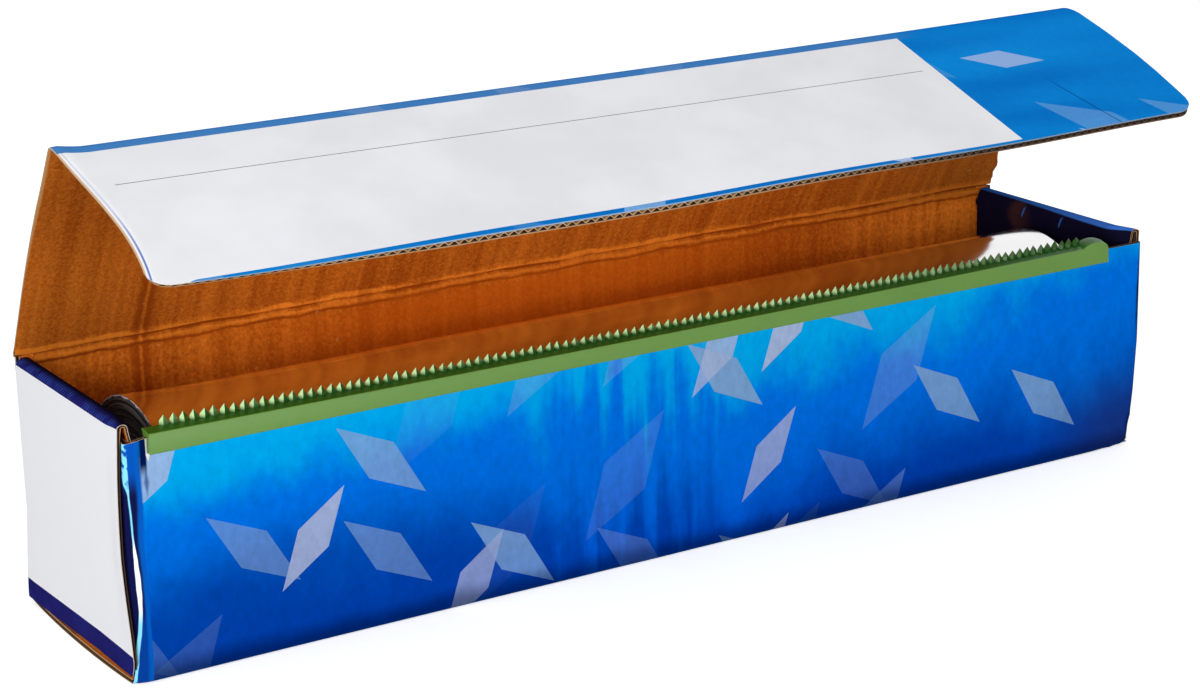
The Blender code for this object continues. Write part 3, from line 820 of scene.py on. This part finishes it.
def end_wall(sizes, side):
    """An end wall of two layers, folded over at the top; side is -1 at the left."""
    outer = CARTON_HIGH.x - sizes.board / 2
    crown = CARTON_HIGH.z - 0.5 * MM - sizes.board / 2
    inner = outer - 3.6 * MM
    inner_top = crown - 6.5 * MM
    foot = 1.65 * MM

    def fold_over(wide):
        """The wall's section: up, over the crown and down inside."""
        corners = [(outer, foot), (outer, crown), (outer - wide, crown), (outer - wide, crown - 1.3 * MM)]
        corners += [(outer - wide - 0.5 * MM, crown - 3.6 * MM), (inner, inner_top), (inner, foot)]
        bend = wide * 0.48
        return Fold(corners, [bend, bend, 0.6 * MM, 1 * MM, 1 * MM])

    narrow, fold = fold_over(1.9 * MM), fold_over(3.5 * MM)
    number = np.arange(len(fold.points))
    heights = (0, 2, 5, 12, 31, 50, 63)
    front = (-31.6, -31.6, -31.6, -31.6, -31.6, -31.6, -31.9)
    if side < 0:
        front = (-29.5, -31, -32.6, -32.7, -31, -31, -31.5)
    rear = CARTON_HIGH.y - 1.95 * MM
    depth = rear + CARTON_HIGH.y
    crushed_from = fold.near((outer, crown - 3 * MM))
    over = fold.near((inner, inner_top))

    def surface(along, across, offset):
        crush = ramp(along, crushed_from, 2 * MM) * ramp(-along, -over, 2 * MM)
        place = np.interp(along, fold.lengths, number)
        pressed = np.maximum(crush, 0.7 * (place < 2))
        near = narrow.at(np.interp(place, number, narrow.lengths), offset * (1 - 0.5 * pressed))
        far = fold.at(along, offset * (1 - 0.25 * crush))
        share = ramp(across, 0, 8 * MM)
        share = share * share * (3 - 2 * share)
        x, z = (first + (second - first) * share for first, second in zip(near, far))
        start = curve(z, heights, front)
        start = start + ramp(place, 12, 10) * (np.maximum(start, -31.5 * MM) - start)
        y = start + across * (rear - start) / depth
        bulge = np.sin(math.pi * ramp(z, 0, crown)) * (1 - share)
        outside = place < 2
        x = x + np.where(outside, (1.1 if side < 0 else 0.2) * MM * bulge, 0)
        if side < 0:
            x = x + foot_bulge(z) * outside * ramp(1.6 * across / depth, 0.5, 1)
        else:
            lean = curve(z, heights, (-0.6, -0.4, 0, 0.5, 1.5, 1.4, 1.4)) * (1 - share)
            x = x + lean * np.where(z > 0.5 * crown, 1, outside)
        return np.stack([side * x, y, z], -1)

    builder = Builder()
    top = fold.near((outer, crown - 1.25 * MM))
    along = lines((0, top, 30), (top, over + 1 * MM, 44), (over + 1 * MM, fold.length, 16))
    across = lines((0, 8 * MM, 16), (8 * MM, depth, 28))
    fluting = (along[::2], (0.7 * MM, depth - 0.7 * MM))
    add_board(builder, surface, along, across, sizes, fluting)
    if side < 0:
        return builder.finish("end_wall_left", board_finishes("End print", edge="End edge"))
    # the right wall's inner liner and flutes take the painted flute shade
    materials = board_finishes("End print", "Flute shade", "End edge", "Flute shade", "End edge")
    return builder.finish("end_wall_right", materials)


class CARTON_OT_walls(bpy.types.Operator):
    """Front wall with its bent ends, floor, back wall and both folded end walls."""

    bl_idname = "foil_carton.walls"
    bl_label = "Build the carton's walls"

    def execute(self, context):
        sizes = context.scene.carton_sizes
        front = front_wall(sizes)
        girth = floor_and_back(sizes)
        ends = [end_wall(sizes, side) for side in (-1, 1)]
        for piece in (front, girth, *ends):
            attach(piece, "carton")
        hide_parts("carton_body")
        return {"FINISHED"}


def lid_edges(along_lid):
    """Where the lid's two short edges run, by the distance from the hinge."""
    left = curve(along_lid, (-1.3, -0.9, 25, 50, 68), (-148, -152.3, -152.8, -153.3, -153.3))
    places = (-1.3, -0.9, 1, 3, 5, 8, 11, 14, 30, 62, 66, 68)
    edge = (148, 151.6, 152.2, 152.6, 151.7, 152.2, 150.6, 149.6, 149.2, 148.6, 148.2, 146.6)
    return left, curve(along_lid, places, edge)


def pinch(offset, across, sizes):
    """The distance from the board's middle, with the liners pressed together at the left edge."""
    gap = sizes.board / 2 - sizes.liner
    left_open = 0.06 + 0.94 * ramp(across, 0, 1 / 159)
    closed = np.sign(offset) * gap * (1 - left_open)
    return np.where(np.abs(offset) < gap, offset * left_open, offset - closed)


def flap_edges(along_flap):
    """Where the flap's two short edges run, by the distance from the lid's front crease."""
    off_middle = np.maximum(along_flap, 0) / MM - 33
    left = (-150.9 - 0.0022 * off_middle**2 - 0.0029 * np.maximum(off_middle, 0) ** 2) * MM
    places = (0, 1, 2.2, 4, 15, 28, 38, 49, 60)
    edge = (146.2, 147.5, 148.4, 149, 149.6, 149.5, 148.6, 146.9, 144.8)
    return left, curve(along_flap, places, edge)


def flap_reach(across):
    """The flap's free edge, with its two rounded corners."""
    reach = 58.9 * MM + 3 * MM * (1 - ramp(across, -0.148, 0.289) ** 1.6)
    reach = reach - 2.7 * MM * ramp(-across, 80 * MM, 70 * MM) ** 1.3
    radius = 6 * MM
    for edge, way in ((FLAP_LEFT, 1), (FLAP_LEFT + FLAP_WIDTH, -1)):
        inside = np.clip((across - edge) * way, 0, radius)
        reach = reach - radius + np.sqrt(radius**2 - (radius - inside) ** 2)
    return reach


class CARTON_OT_lid(bpy.types.Operator):
    """Lid panel, front flap and the two creases that they bend on."""

    bl_idname = "foil_carton.lid"
    bl_label = "Build the lid and its flap"

    def execute(self, context):
        sizes = context.scene.carton_sizes
        fold = carton_fold(sizes)
        hinge = fold.near(LID_HINGE[1:])
        crease = fold.near(FLAP_HINGE[1:])
        depth = crease - hinge
        reach = sizes.crease_reach

        def bowed(along, x, offset):
            share = ramp(along, hinge, depth)
            leftness = np.clip(0.75 - x / 0.4, 0.3, 1)
            bow = sizes.lid_bow * np.sin(math.pi * share) ** 1.3 * leftness * (along < crease)
            from_hinge = along - hinge + 0.3 * MM * np.sin(x / 0.013) + 0.2 * MM * np.sin(x / 0.0047 + 1)
            score = 0.75 * MM * hump(from_hinge, 0.9 * MM, 0.75 * MM)
            score += 0.5 * MM * hump(from_hinge, -1.9 * MM, 0.7 * MM)
            score -= 0.35 * MM * hump(from_hinge, -0.5 * MM, 0.6 * MM)
            y, z = fold.at(along, offset + bow - np.where(offset < 0, score, 0))
            flare = ramp(-x, 145 * MM, 8 * MM) ** 1.5
            z = z + 1.1 * MM * flare * hump(along, crease, 9 * MM)
            z = z + 0.7 * MM * share**2 * ramp(x, 0, 0.148) ** 2 * (1 - ramp(along, crease, 60 * MM))
            return np.stack([x, y, z], -1)

        def lid_surface(along, across, offset):
            left, right = lid_edges(along - hinge)
            return bowed(along, left + (right - left) * across, pinch(offset, across, sizes))

        def flap_surface(along, across, offset):
            left, right = flap_edges(along - crease)
            return bowed(along, left + (right - left) * across, pinch(offset, across, sizes))

        def free_edge(across):
            return flap_reach(FLAP_LEFT + FLAP_WIDTH * across) - reach

        def flap_panel(share, across, offset):
            down = reach + share * free_edge(across)
            left, right = flap_edges(down)
            ripple = 0.25 * MM * np.sin((-152 * MM + 299 * MM * across) / 0.017) * share**3
            swelling = ramp(across, 0.1, 0.15) * 0.9 - 0.5
            swollen = pinch(offset, across, sizes) * (1 + swelling * share**4)
            return bowed(crease + down, left + (right - left) * across, swollen + ripple)

        def on_flap(rows, shares):
            return flap_panel(rows, shares, 0)[:, :, 0], reach + rows * free_edge(shares)

        def from_line(surface, line):
            """The place on the print: the true place across, and the distance from a crease."""
            return lambda rows, shares: (surface(rows, shares, 0)[:, :, 0], rows - line)

        width = 301 * MM

        def board(name, surface, rows, shares, mapped, materials, fluting=None):
            """One board, whose width is measured in metres for the fluting."""
            builder = Builder()
            add_board(
                builder,
                lambda along, across, offset: surface(along, across / width, offset),
                rows,
                shares * width,
                sizes,
                fluting,
                lambda along, across: mapped(along, across / width),
            )
            return builder.finish(name, board_finishes(*materials))

        even = np.linspace(0, 1, 160)
        on_lid = from_line(lid_surface, hinge)
        rows = np.linspace(hinge + reach, crease - reach, 40)
        fluting = (rows[::5], (0.5 * MM, width - 0.5 * MM))
        lid = board("lid_board", lid_surface, rows, even, on_lid, ["Blue film"], fluting)
        rows = lines((0, 0.9, 26), (0.9, 1, 8))
        shares = lines((0, 0.03, 26), (0.03, 0.97, 220), (0.97, 1, 26))
        fluting = (np.linspace(0.01, 0.9985, 9), (0.6 * MM, width - 0.6 * MM))
        flap = board("flap_board", flap_panel, rows, shares, on_flap, ["Flap print"], fluting)
        rows = np.linspace(hinge - reach, hinge + reach, 36)
        rear = board("rear_crease", lid_surface, rows, even, on_lid, ["Blue film", "Scored kraft"])
        rows = np.linspace(crease - reach, crease + reach, 36)
        on_crease = from_line(flap_surface, crease)
        front = board("flap_crease", flap_surface, rows, even, on_crease, ["Flap print", "Crease kraft"])

        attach(lid, "lid")
        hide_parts("lid_panel")
        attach(flap, "front_flap")
        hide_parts("lid_front_flap")
        flap_end = np.array([0, *fold.at(crease + 4 * MM, 0)])
        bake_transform(rear)
        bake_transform(front)
        return {"FINISHED"}


def foil_finish(roughness):
    """Bright foil with faint lines round the roll and soft dents."""
    finish = Finish("Bright foil", roughness, 1)
    finish.color((0.88, 0.88, 0.89))
    finish.set("Anisotropic", 0.3)
    finish.set("Specular Tint", (1, 1, 1, 1))
    scratches = finish.noise(260, 2, (0.05, 1, 1))
    dents = finish.noise(30, 2)
    finish.bump(scratches * 0.1 + dents, 0.0004, 0.25)
    return finish.material


def roll_end_finish(rim_place):
    """The turns' cut edges: near black, with lighter turns, small painted glints and a painted highlight
    round the rim.
    """
    finish = Finish("Foil edges", 0.45, 0.6)
    along = finish.sheet()[1]
    inputs = {"W": along * 2.2, "Scale": 1, "Detail": 3}
    ring = finish.value("ShaderNodeTexNoise", inputs, noise_dimensions="1D")
    color = finish.mix(ring.step(0.35, 0.75), (0.013, 0.012, 0.013), (0.2, 0.185, 0.19))
    # painted glints: small bright specks
    glint = finish.noise(1500, 1).step(0.72, 0.8)
    color = finish.mix(glint * 0.5, color, (0.5, 0.5, 0.52))
    # painted highlight round the rim, with a ragged inner border
    torn = along + finish.noise(420, 2) * 1.6
    rim = torn.step(rim_place - 0.1, rim_place + 0.3)
    finish.color(finish.mix(rim, color, (0.9, 0.9, 0.92)))
    return finish.material


class CARTON_OT_roll(bpy.types.Operator):
    """The foil roll with its wound ends, and the core tube inside it."""

    bl_idname = "foil_carton.roll"
    bl_label = "Build the foil roll"

    def execute(self, context):
        settings = context.scene.foil_sizes
        centre_y = (ROLL_LOW.y + ROLL_HIGH.y) / 2
        centre_z = (ROLL_LOW.z + ROLL_HIGH.z) / 2
        radius = (ROLL_HIGH.z - ROLL_LOW.z) / 2
        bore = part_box("core_tube")[1].z - centre_z + 0.1 * MM
        angles = np.linspace(0, 2 * math.pi, 192, endpoint=False)
        dice = np.random.default_rng(7)
        heights = np.repeat(dice.uniform(0, 1, settings.turns), 2)
        heights[1::2] *= 0.5
        radii = np.linspace(radius - 0.12 * MM, bore, len(heights))
        left, right = (
            [(x + way * settings.relief * height, edge) for height, edge in zip(heights, radii)]
            for x, way in ((ROLL_LOW.x, 1), (ROLL_HIGH.x, -1))
        )
        along = [(x, radius) for x in np.linspace(ROLL_LOW.x + 0.15 * MM, ROLL_HIGH.x - 0.15 * MM, 90)]
        ring = np.array(left[::-1] + along + right)
        ends = len(left)
        x, spoke = np.meshgrid(ring[:, 0], angles, indexing="ij")[0], ring[:, 1][:, None]
        turn = np.broadcast_to(angles, x.shape)
        body = np.zeros(len(ring), bool)
        body[ends:-ends] = True
        wobble = 0.05 * MM * np.sin(x / 0.03 + 2 * turn) + 0.04 * MM * np.sin(x / 0.011 + 5 * turn)
        flare = 0.9 * MM * ramp(-x, -ROLL_LOW.x - 22 * MM, 22 * MM) ** 1.5
        spoke = spoke + np.where(body[:, None], wobble, 0) + flare * (spoke > bore + 3 * MM)
        spiral = np.where(body[:, None], 0, 0.35 * MM * turn / (2 * math.pi))
        far = spoke + spiral * (spoke > bore + 1 * MM) * (spoke < radius - 0.6 * MM)
        outer, inner = (
            np.stack([x, centre_y + distance * np.cos(turn), centre_z + distance * np.sin(turn)], -1)
            for distance in (far, bore)
        )
        inner[:, :, 0] = np.linspace(ring[0, 0], ring[-1, 0], len(ring))[:, None]
        builder = Builder()
        builder.sheet(outer, inner, x, far, (0, 2, 2), closed=True)
        slots = np.array(builder.slots)
        count = (len(ring) - 1) * len(angles)
        upper = slots[:count].reshape(len(ring) - 1, -1)
        upper[: ends - 1] = 1
        upper[-ends + 1:] = 1
        slots[:count] = upper.ravel()
        builder.slots = slots.tolist()
        edges = roll_end_finish((radius + 0.9 * MM) / MM + 0.35)
        roll = builder.finish("wound_foil", [foil_finish(settings.roughness), edges, edges], 30)
        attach(roll, "carton")
        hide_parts("foil_roll")
        core = frame["nodes"]["core_tube"]
        core.data.materials.clear()
        core.data.materials.append(plain_finish("Core board", (0.48, 0.42, 0.34), 0.9, grain=0.3))
        return {"FINISHED"}


def plastic(name, color, roughness=0.42):
    """Moulded plastic with faint flow marks."""
    finish = Finish(name, roughness)
    finish.color(finish.mix(finish.noise(120, 3, (0.4, 1, 1)), times(color, 0.86), color))
    finish.bump(finish.noise(160, 2, (0.3, 1, 1)), 0.0001, 0.3)
    finish.set("Subsurface Weight", 0.15)
    finish.set("Subsurface Scale", 0.002)
    return finish.material


def tooth_finish(settings):
    """Teeth with painted light and shade: painted light on their left flanks, painted shade at their feet, on
    their right flanks and towards the strip's right end.
    """
    finish = Finish("Tooth plastic", 0.35)
    across, height = (finish.part(finish.place(), axis) for axis in (0, 2))
    high = height.step(STRIP_HIGH.z - 3.1 * MM, STRIP_HIGH.z - 1.7 * MM)
    # painted shade: darker towards the strip's right end
    far = 1 - across.step(0.03, 0.125) * 0.95
    lit = (1 - finish.facing().step(-0.25, 0.35)) * high * far
    finish.color(finish.mix(lit, times(settings.deck_shade_green, 0.5), settings.lit_tooth_green))
    finish.set("Specular IOR Level", 0.3)
    return finish.material


def tooth_tree(material):
    """Geometry Nodes: one tooth of two frustums, set out along X at an even pitch."""
    tree = bpy.data.node_groups.new("Tooth row", "GeometryNodeTree")
    tree.interface.new_socket("Geometry", in_out="OUTPUT", socket_type="NodeSocketGeometry")
    for name, kind in (("Count", "Int"), ("Pitch", "Float"), ("Radius", "Float"), ("Height", "Float")):
        tree.interface.new_socket(name, in_out="INPUT", socket_type="NodeSocket" + kind)

    def node(kind, inputs, **settings):
        return add_node(tree, kind, inputs, **settings).outputs[0]

    def scaled(socket, factor):
        return node("ShaderNodeMath", {0: socket, 1: factor}, operation="MULTIPLY")

    def frustum(low, top, depth):
        inputs = {"Vertices": 4, "Radius Top": top, "Radius Bottom": low, "Depth": depth}
        return node("GeometryNodeMeshCone", inputs)

    def spread(low, high, seed):
        return node("FunctionNodeRandomValue", {0: low, 1: high, "Seed": seed}, data_type="FLOAT_VECTOR")

    given = add_node(tree, "NodeGroupInput").outputs
    shoulder = scaled(given["Radius"], 0.88)
    low_depth = scaled(given["Height"], 0.45)
    foot = frustum(given["Radius"], shoulder, low_depth)
    tip = frustum(shoulder, 0.0, scaled(given["Height"], 0.55))
    lift = node("ShaderNodeCombineXYZ", {2: low_depth})
    raised = node("GeometryNodeTransform", {"Geometry": tip, "Translation": lift})
    both = add_node(tree, "GeometryNodeJoinGeometry", {0: foot})
    wire(tree, both.inputs[0], raised)
    shape = {"Geometry": both.outputs[0], "Rotation": (0, 0, -0.35), "Scale": (1, 0.9, 1)}
    tooth = node("GeometryNodeTransform", shape)
    offset = node("ShaderNodeCombineXYZ", {0: given["Pitch"]})
    row = node("GeometryNodeMeshLine", {"Count": given["Count"], "Offset": offset})
    lean = spread((-0.07, -0.07, -0.15), (0.07, 0.07, 0.15), 5)
    growth = spread((0.92, 0.92, 0.93), (1.06, 1.06, 1.05), 9)
    places = {"Points": row, "Instance": tooth, "Rotation": lean, "Scale": growth}
    solid = node("GeometryNodeRealizeInstances", {0: node("GeometryNodeInstanceOnPoints", places)})
    painted = node("GeometryNodeSetMaterial", {"Geometry": solid, "Material": material})
    add_node(tree, "NodeGroupOutput", {0: painted})
    return tree


def settle(mesh):
    """The strip's slight sag, and its foot a little higher in the middle."""
    rise = STRIP_HIGH.z - DECK_DEPTH - STRIP_LOW.z
    for vertex in mesh.vertices:
        height = (vertex.co.z - STRIP_LOW.z) / rise
        along = ramp(vertex.co.x, STRIP_LOW.x, STRIP_HIGH.x - STRIP_LOW.x)
        arch = math.sin(math.pi * along)
        head = -0.45 * MM * arch + 0.45 * MM * along**3 - 0.25 * MM
        foot = 0.5 * MM * arch + 0.3 * MM * along**3
        past = (vertex.co.x - (STRIP_HIGH.x - 9 * MM)) / (9 * MM)
        if past > 0:
            turned = min(max((past - 0.8) / 0.2, 0), 1)
            head += 1.3 * MM * math.sin(math.pi * min(past, 1)) ** 0.7
            head -= 1.4 * MM * (1 - math.sqrt(1 - turned**2))
            notch = math.sin(math.pi * min(max((height - 0.15) / 0.75, 0), 1))
            vertex.co.x -= 1.1 * MM * notch * max(0, past - 0.8) * 5
        vertex.co.z += foot + (head - foot) * height


def strip_channel(settings):
    """The strip's channel, pushed over the wall's top edge."""
    front, low = STRIP_LOW.y, STRIP_LOW.z
    top = STRIP_HIGH.z - DECK_DEPTH
    deck = top - 0.15 * MM
    back = front + 4.2 * MM
    leg = back - 0.5 * MM
    wall = 0.95 * MM
    under = top - 1.8 * MM
    section = [
        (front + 0.15 * MM, low),
        (front, low + 0.15 * MM),
        (front, top - 0.85 * MM),
        (front + 0.1 * MM, top - 0.65 * MM),
        (front + 0.3 * MM, top - 0.6 * MM),
        (front + 2.1 * MM, deck),
        (back - 0.15 * MM, deck),
        (back, deck - 0.15 * MM),
        (back, deck - 0.7 * MM),
        (leg, deck - 0.75 * MM),
        (leg, top - 5 * MM),
        (leg - wall, top - 5 * MM),
        (leg - wall, under),
        (front + wall, under),
        (front + wall, low),
    ]
    reach = lines((STRIP_LOW.x, STRIP_HIGH.x - 10 * MM, 80), (STRIP_HIGH.x - 10 * MM, STRIP_HIGH.x, 30))
    bm = bmesh.new()
    rings = [[bm.verts.new((x, *point)) for point in section] for x in reach]
    bm.faces.new(rings[0])
    bm.faces.new(rings[-1])
    for ring, after in zip(rings, rings[1:]):
        for index in range(len(section)):
            other = (index + 1) % len(section)
            face = bm.faces.new((ring[index], ring[other], after[other], after[index]))
            # the front top bevel takes a painted highlight; the deck slope and the deck take painted shade
            face.material_index = {3: 2, 4: 1, 5: 1}.get(index, 0)
    mesh = bpy.data.meshes.new("strip_channel")
    bm.to_mesh(mesh)
    bm.free()
    mesh.materials.append(plastic("Green plastic", settings.green))
    mesh.materials.append(plastic("Strip deck shade", settings.deck_shade_green))
    mesh.materials.append(plastic("Strip rim highlight", times(settings.green, 1.5)))
    return add_piece("strip_channel", mesh, 35)


def strip_teeth(settings):
    """The row of teeth as one mesh."""
    first = STRIP_LOW.x + 5.1 * MM
    last = STRIP_HIGH.x - 9.4 * MM
    tree = tooth_tree(tooth_finish(settings))
    holder = bpy.data.objects.new("strip_teeth", bpy.data.meshes.new("strip_teeth"))
    bpy.context.scene.collection.objects.link(holder)
    modifier = holder.modifiers.new("Tooth row", "NODES")
    modifier.node_group = tree
    values = {
        "Count": settings.tooth_count,
        "Pitch": (last - first) / (settings.tooth_count - 1),
        "Radius": settings.tooth_radius,
        "Height": settings.tooth_height,
    }
    for item in tree.interface.items_tree:
        if item.name in values:
            modifier[item.identifier] = values[item.name]
    graph = bpy.context.evaluated_depsgraph_get()
    mesh = bpy.data.meshes.new_from_object(holder.evaluated_get(graph))
    bpy.data.objects.remove(holder)
    deck = STRIP_HIGH.z - DECK_DEPTH - 0.3 * MM
    mesh.transform(Matrix.Translation((first, STRIP_LOW.y + 3.4 * MM, deck)))
    return add_piece("strip_teeth", mesh, 20)


class CARTON_OT_strip(bpy.types.Operator):
    """The green cutter strip and its row of teeth."""

    bl_idname = "foil_carton.strip"
    bl_label = "Build the cutter strip"

    def execute(self, context):
        settings = context.scene.strip_sizes
        channel = strip_channel(settings)
        teeth = strip_teeth(settings)
        for piece in (channel, teeth):
            settle(piece.data)
            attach(piece, "carton")
        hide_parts("cutter_strip")
        return {"FINISHED"}


def add_floor(settings):
    """A wide pale floor, a little brighter to the camera than to the part."""
    reach = 6
    corners = [(-reach, -reach, 0), (reach, -reach, 0), (reach, reach, 0), (-reach, reach, 0)]
    mesh = bpy.data.meshes.new("floor")
    mesh.from_pydata(corners, [], [(0, 1, 2, 3)])
    finish = Finish("Pale floor", 0.9)
    finish.color(settings.floor)
    finish.set("Specular IOR Level", 0.1)
    seen = finish.add("ShaderNodeLightPath").outputs["Is Camera Ray"]
    glow = finish.add("ShaderNodeEmission", {"Strength": Value(finish, seen) * 0.52})
    both = finish.add("ShaderNodeAddShader", {0: finish.shader.outputs[0], 1: glow.outputs[0]})
    finish.tree.links.new(both.outputs[0], finish.tree.nodes["Material Output"].inputs["Surface"])
    mesh.materials.append(finish.material)
    floor = bpy.data.objects.new("floor", mesh)
    bpy.context.scene.collection.objects.link(floor)


def add_lights(settings, scene):
    """Soft light from all round, and two lamps."""
    world = bpy.data.worlds.new("Studio")
    world.use_nodes = True
    scene.world = world
    tree = world.node_tree
    background = tree.nodes["Background"]
    wire(tree, background.inputs["Color"], (1, 1, 1, 1))
    path = add_node(tree, "ShaderNodeLightPath").outputs
    rays = {0: path["Is Camera Ray"], 1: path["Is Glossy Ray"]}
    plain = add_node(tree, "ShaderNodeMath", rays, operation="MAXIMUM").outputs[0]
    strength = add_node(tree, "ShaderNodeMapRange", {0: plain, 3: settings.world, 4: 1})
    wire(tree, background.inputs["Strength"], strength.outputs[0])
    lamps = (("Key", (-0.8, -0.6, 0.24), settings.key), ("Front", (0, -0.8, 0.07), settings.front))
    for name, place, watts in lamps:
        lamp = bpy.data.lights.new(name, "AREA")
        lamp.energy = watts
        lamp.size = 0.35
        obj = bpy.data.objects.new(name, lamp)
        obj.location = place
        aim = -obj.location
        aim.z += 0.06
        obj.rotation_euler = aim.to_track_quat("-Z", "Y").to_euler()
        scene.collection.objects.link(obj)


def add_camera(settings, scene):
    """The camera, where it stood for the photo."""
    data = bpy.data.cameras.new("Camera")
    data.lens = settings.lens
    data.sensor_width = 36
    data.clip_start = 0.01
    camera = bpy.data.objects.new("Camera", data)
    camera.location = (-0.371491, -0.592919, 0.256678)
    camera.rotation_euler = [math.radians(angle) for angle in (73.306645, 1.028458, -32.045992)]
    scene.collection.objects.link(camera)
    scene.camera = camera


class CARTON_OT_stage(bpy.types.Operator):
    """Pale floor, soft light and the camera."""

    bl_idname = "foil_carton.stage"
    bl_label = "Build the stage"

    def execute(self, context):
        settings = context.scene.stage_settings
        scene = context.scene
        scene.view_settings.view_transform = "Standard"
        add_floor(settings)
        add_lights(settings, scene)
        add_camera(settings, scene)
        return {"FINISHED"}


GROUPS = {
    "carton_sizes": CartonSizes,
    "film_colours": FilmColours,
    "foil_sizes": FoilSizes,
    "strip_sizes": StripSizes,
    "stage_settings": StageSettings,
}
OPERATORS = (CARTON_OT_walls, CARTON_OT_lid, CARTON_OT_roll, CARTON_OT_strip, CARTON_OT_stage)


class CARTON_PT_panel(bpy.types.Panel):
    """Lists the build steps and their sizes."""

    bl_idname = "CARTON_PT_panel"
    bl_label = "Foil carton"
    bl_space_type = "VIEW_3D"
    bl_region_type = "UI"
    bl_category = "Foil carton"

    def draw(self, context):
        for operator in OPERATORS:
            self.layout.operator(operator.bl_idname)
        for name, group in GROUPS.items():
            box = self.layout.box()
            for field in group.__annotations__:
                box.prop(getattr(context.scene, name), field)


def register():
    for name, group in GROUPS.items():
        bpy.utils.register_class(group)
        setattr(bpy.types.Scene, name, bpy.props.PointerProperty(type=group))
    for item in (*OPERATORS, CARTON_PT_panel):
        bpy.utils.register_class(item)


def unregister():
    for item in (CARTON_PT_panel, *OPERATORS):
        bpy.utils.unregister_class(item)
    for name, group in GROUPS.items():
        delattr(bpy.types.Scene, name)
        bpy.utils.unregister_class(group)


def main():
    register()
    bpy.ops.foil_carton.walls()
    bpy.ops.foil_carton.lid()
    bpy.ops.foil_carton.roll()
    bpy.ops.foil_carton.strip()
    bpy.ops.foil_carton.stage()


if __name__ == "__main__":
    main()
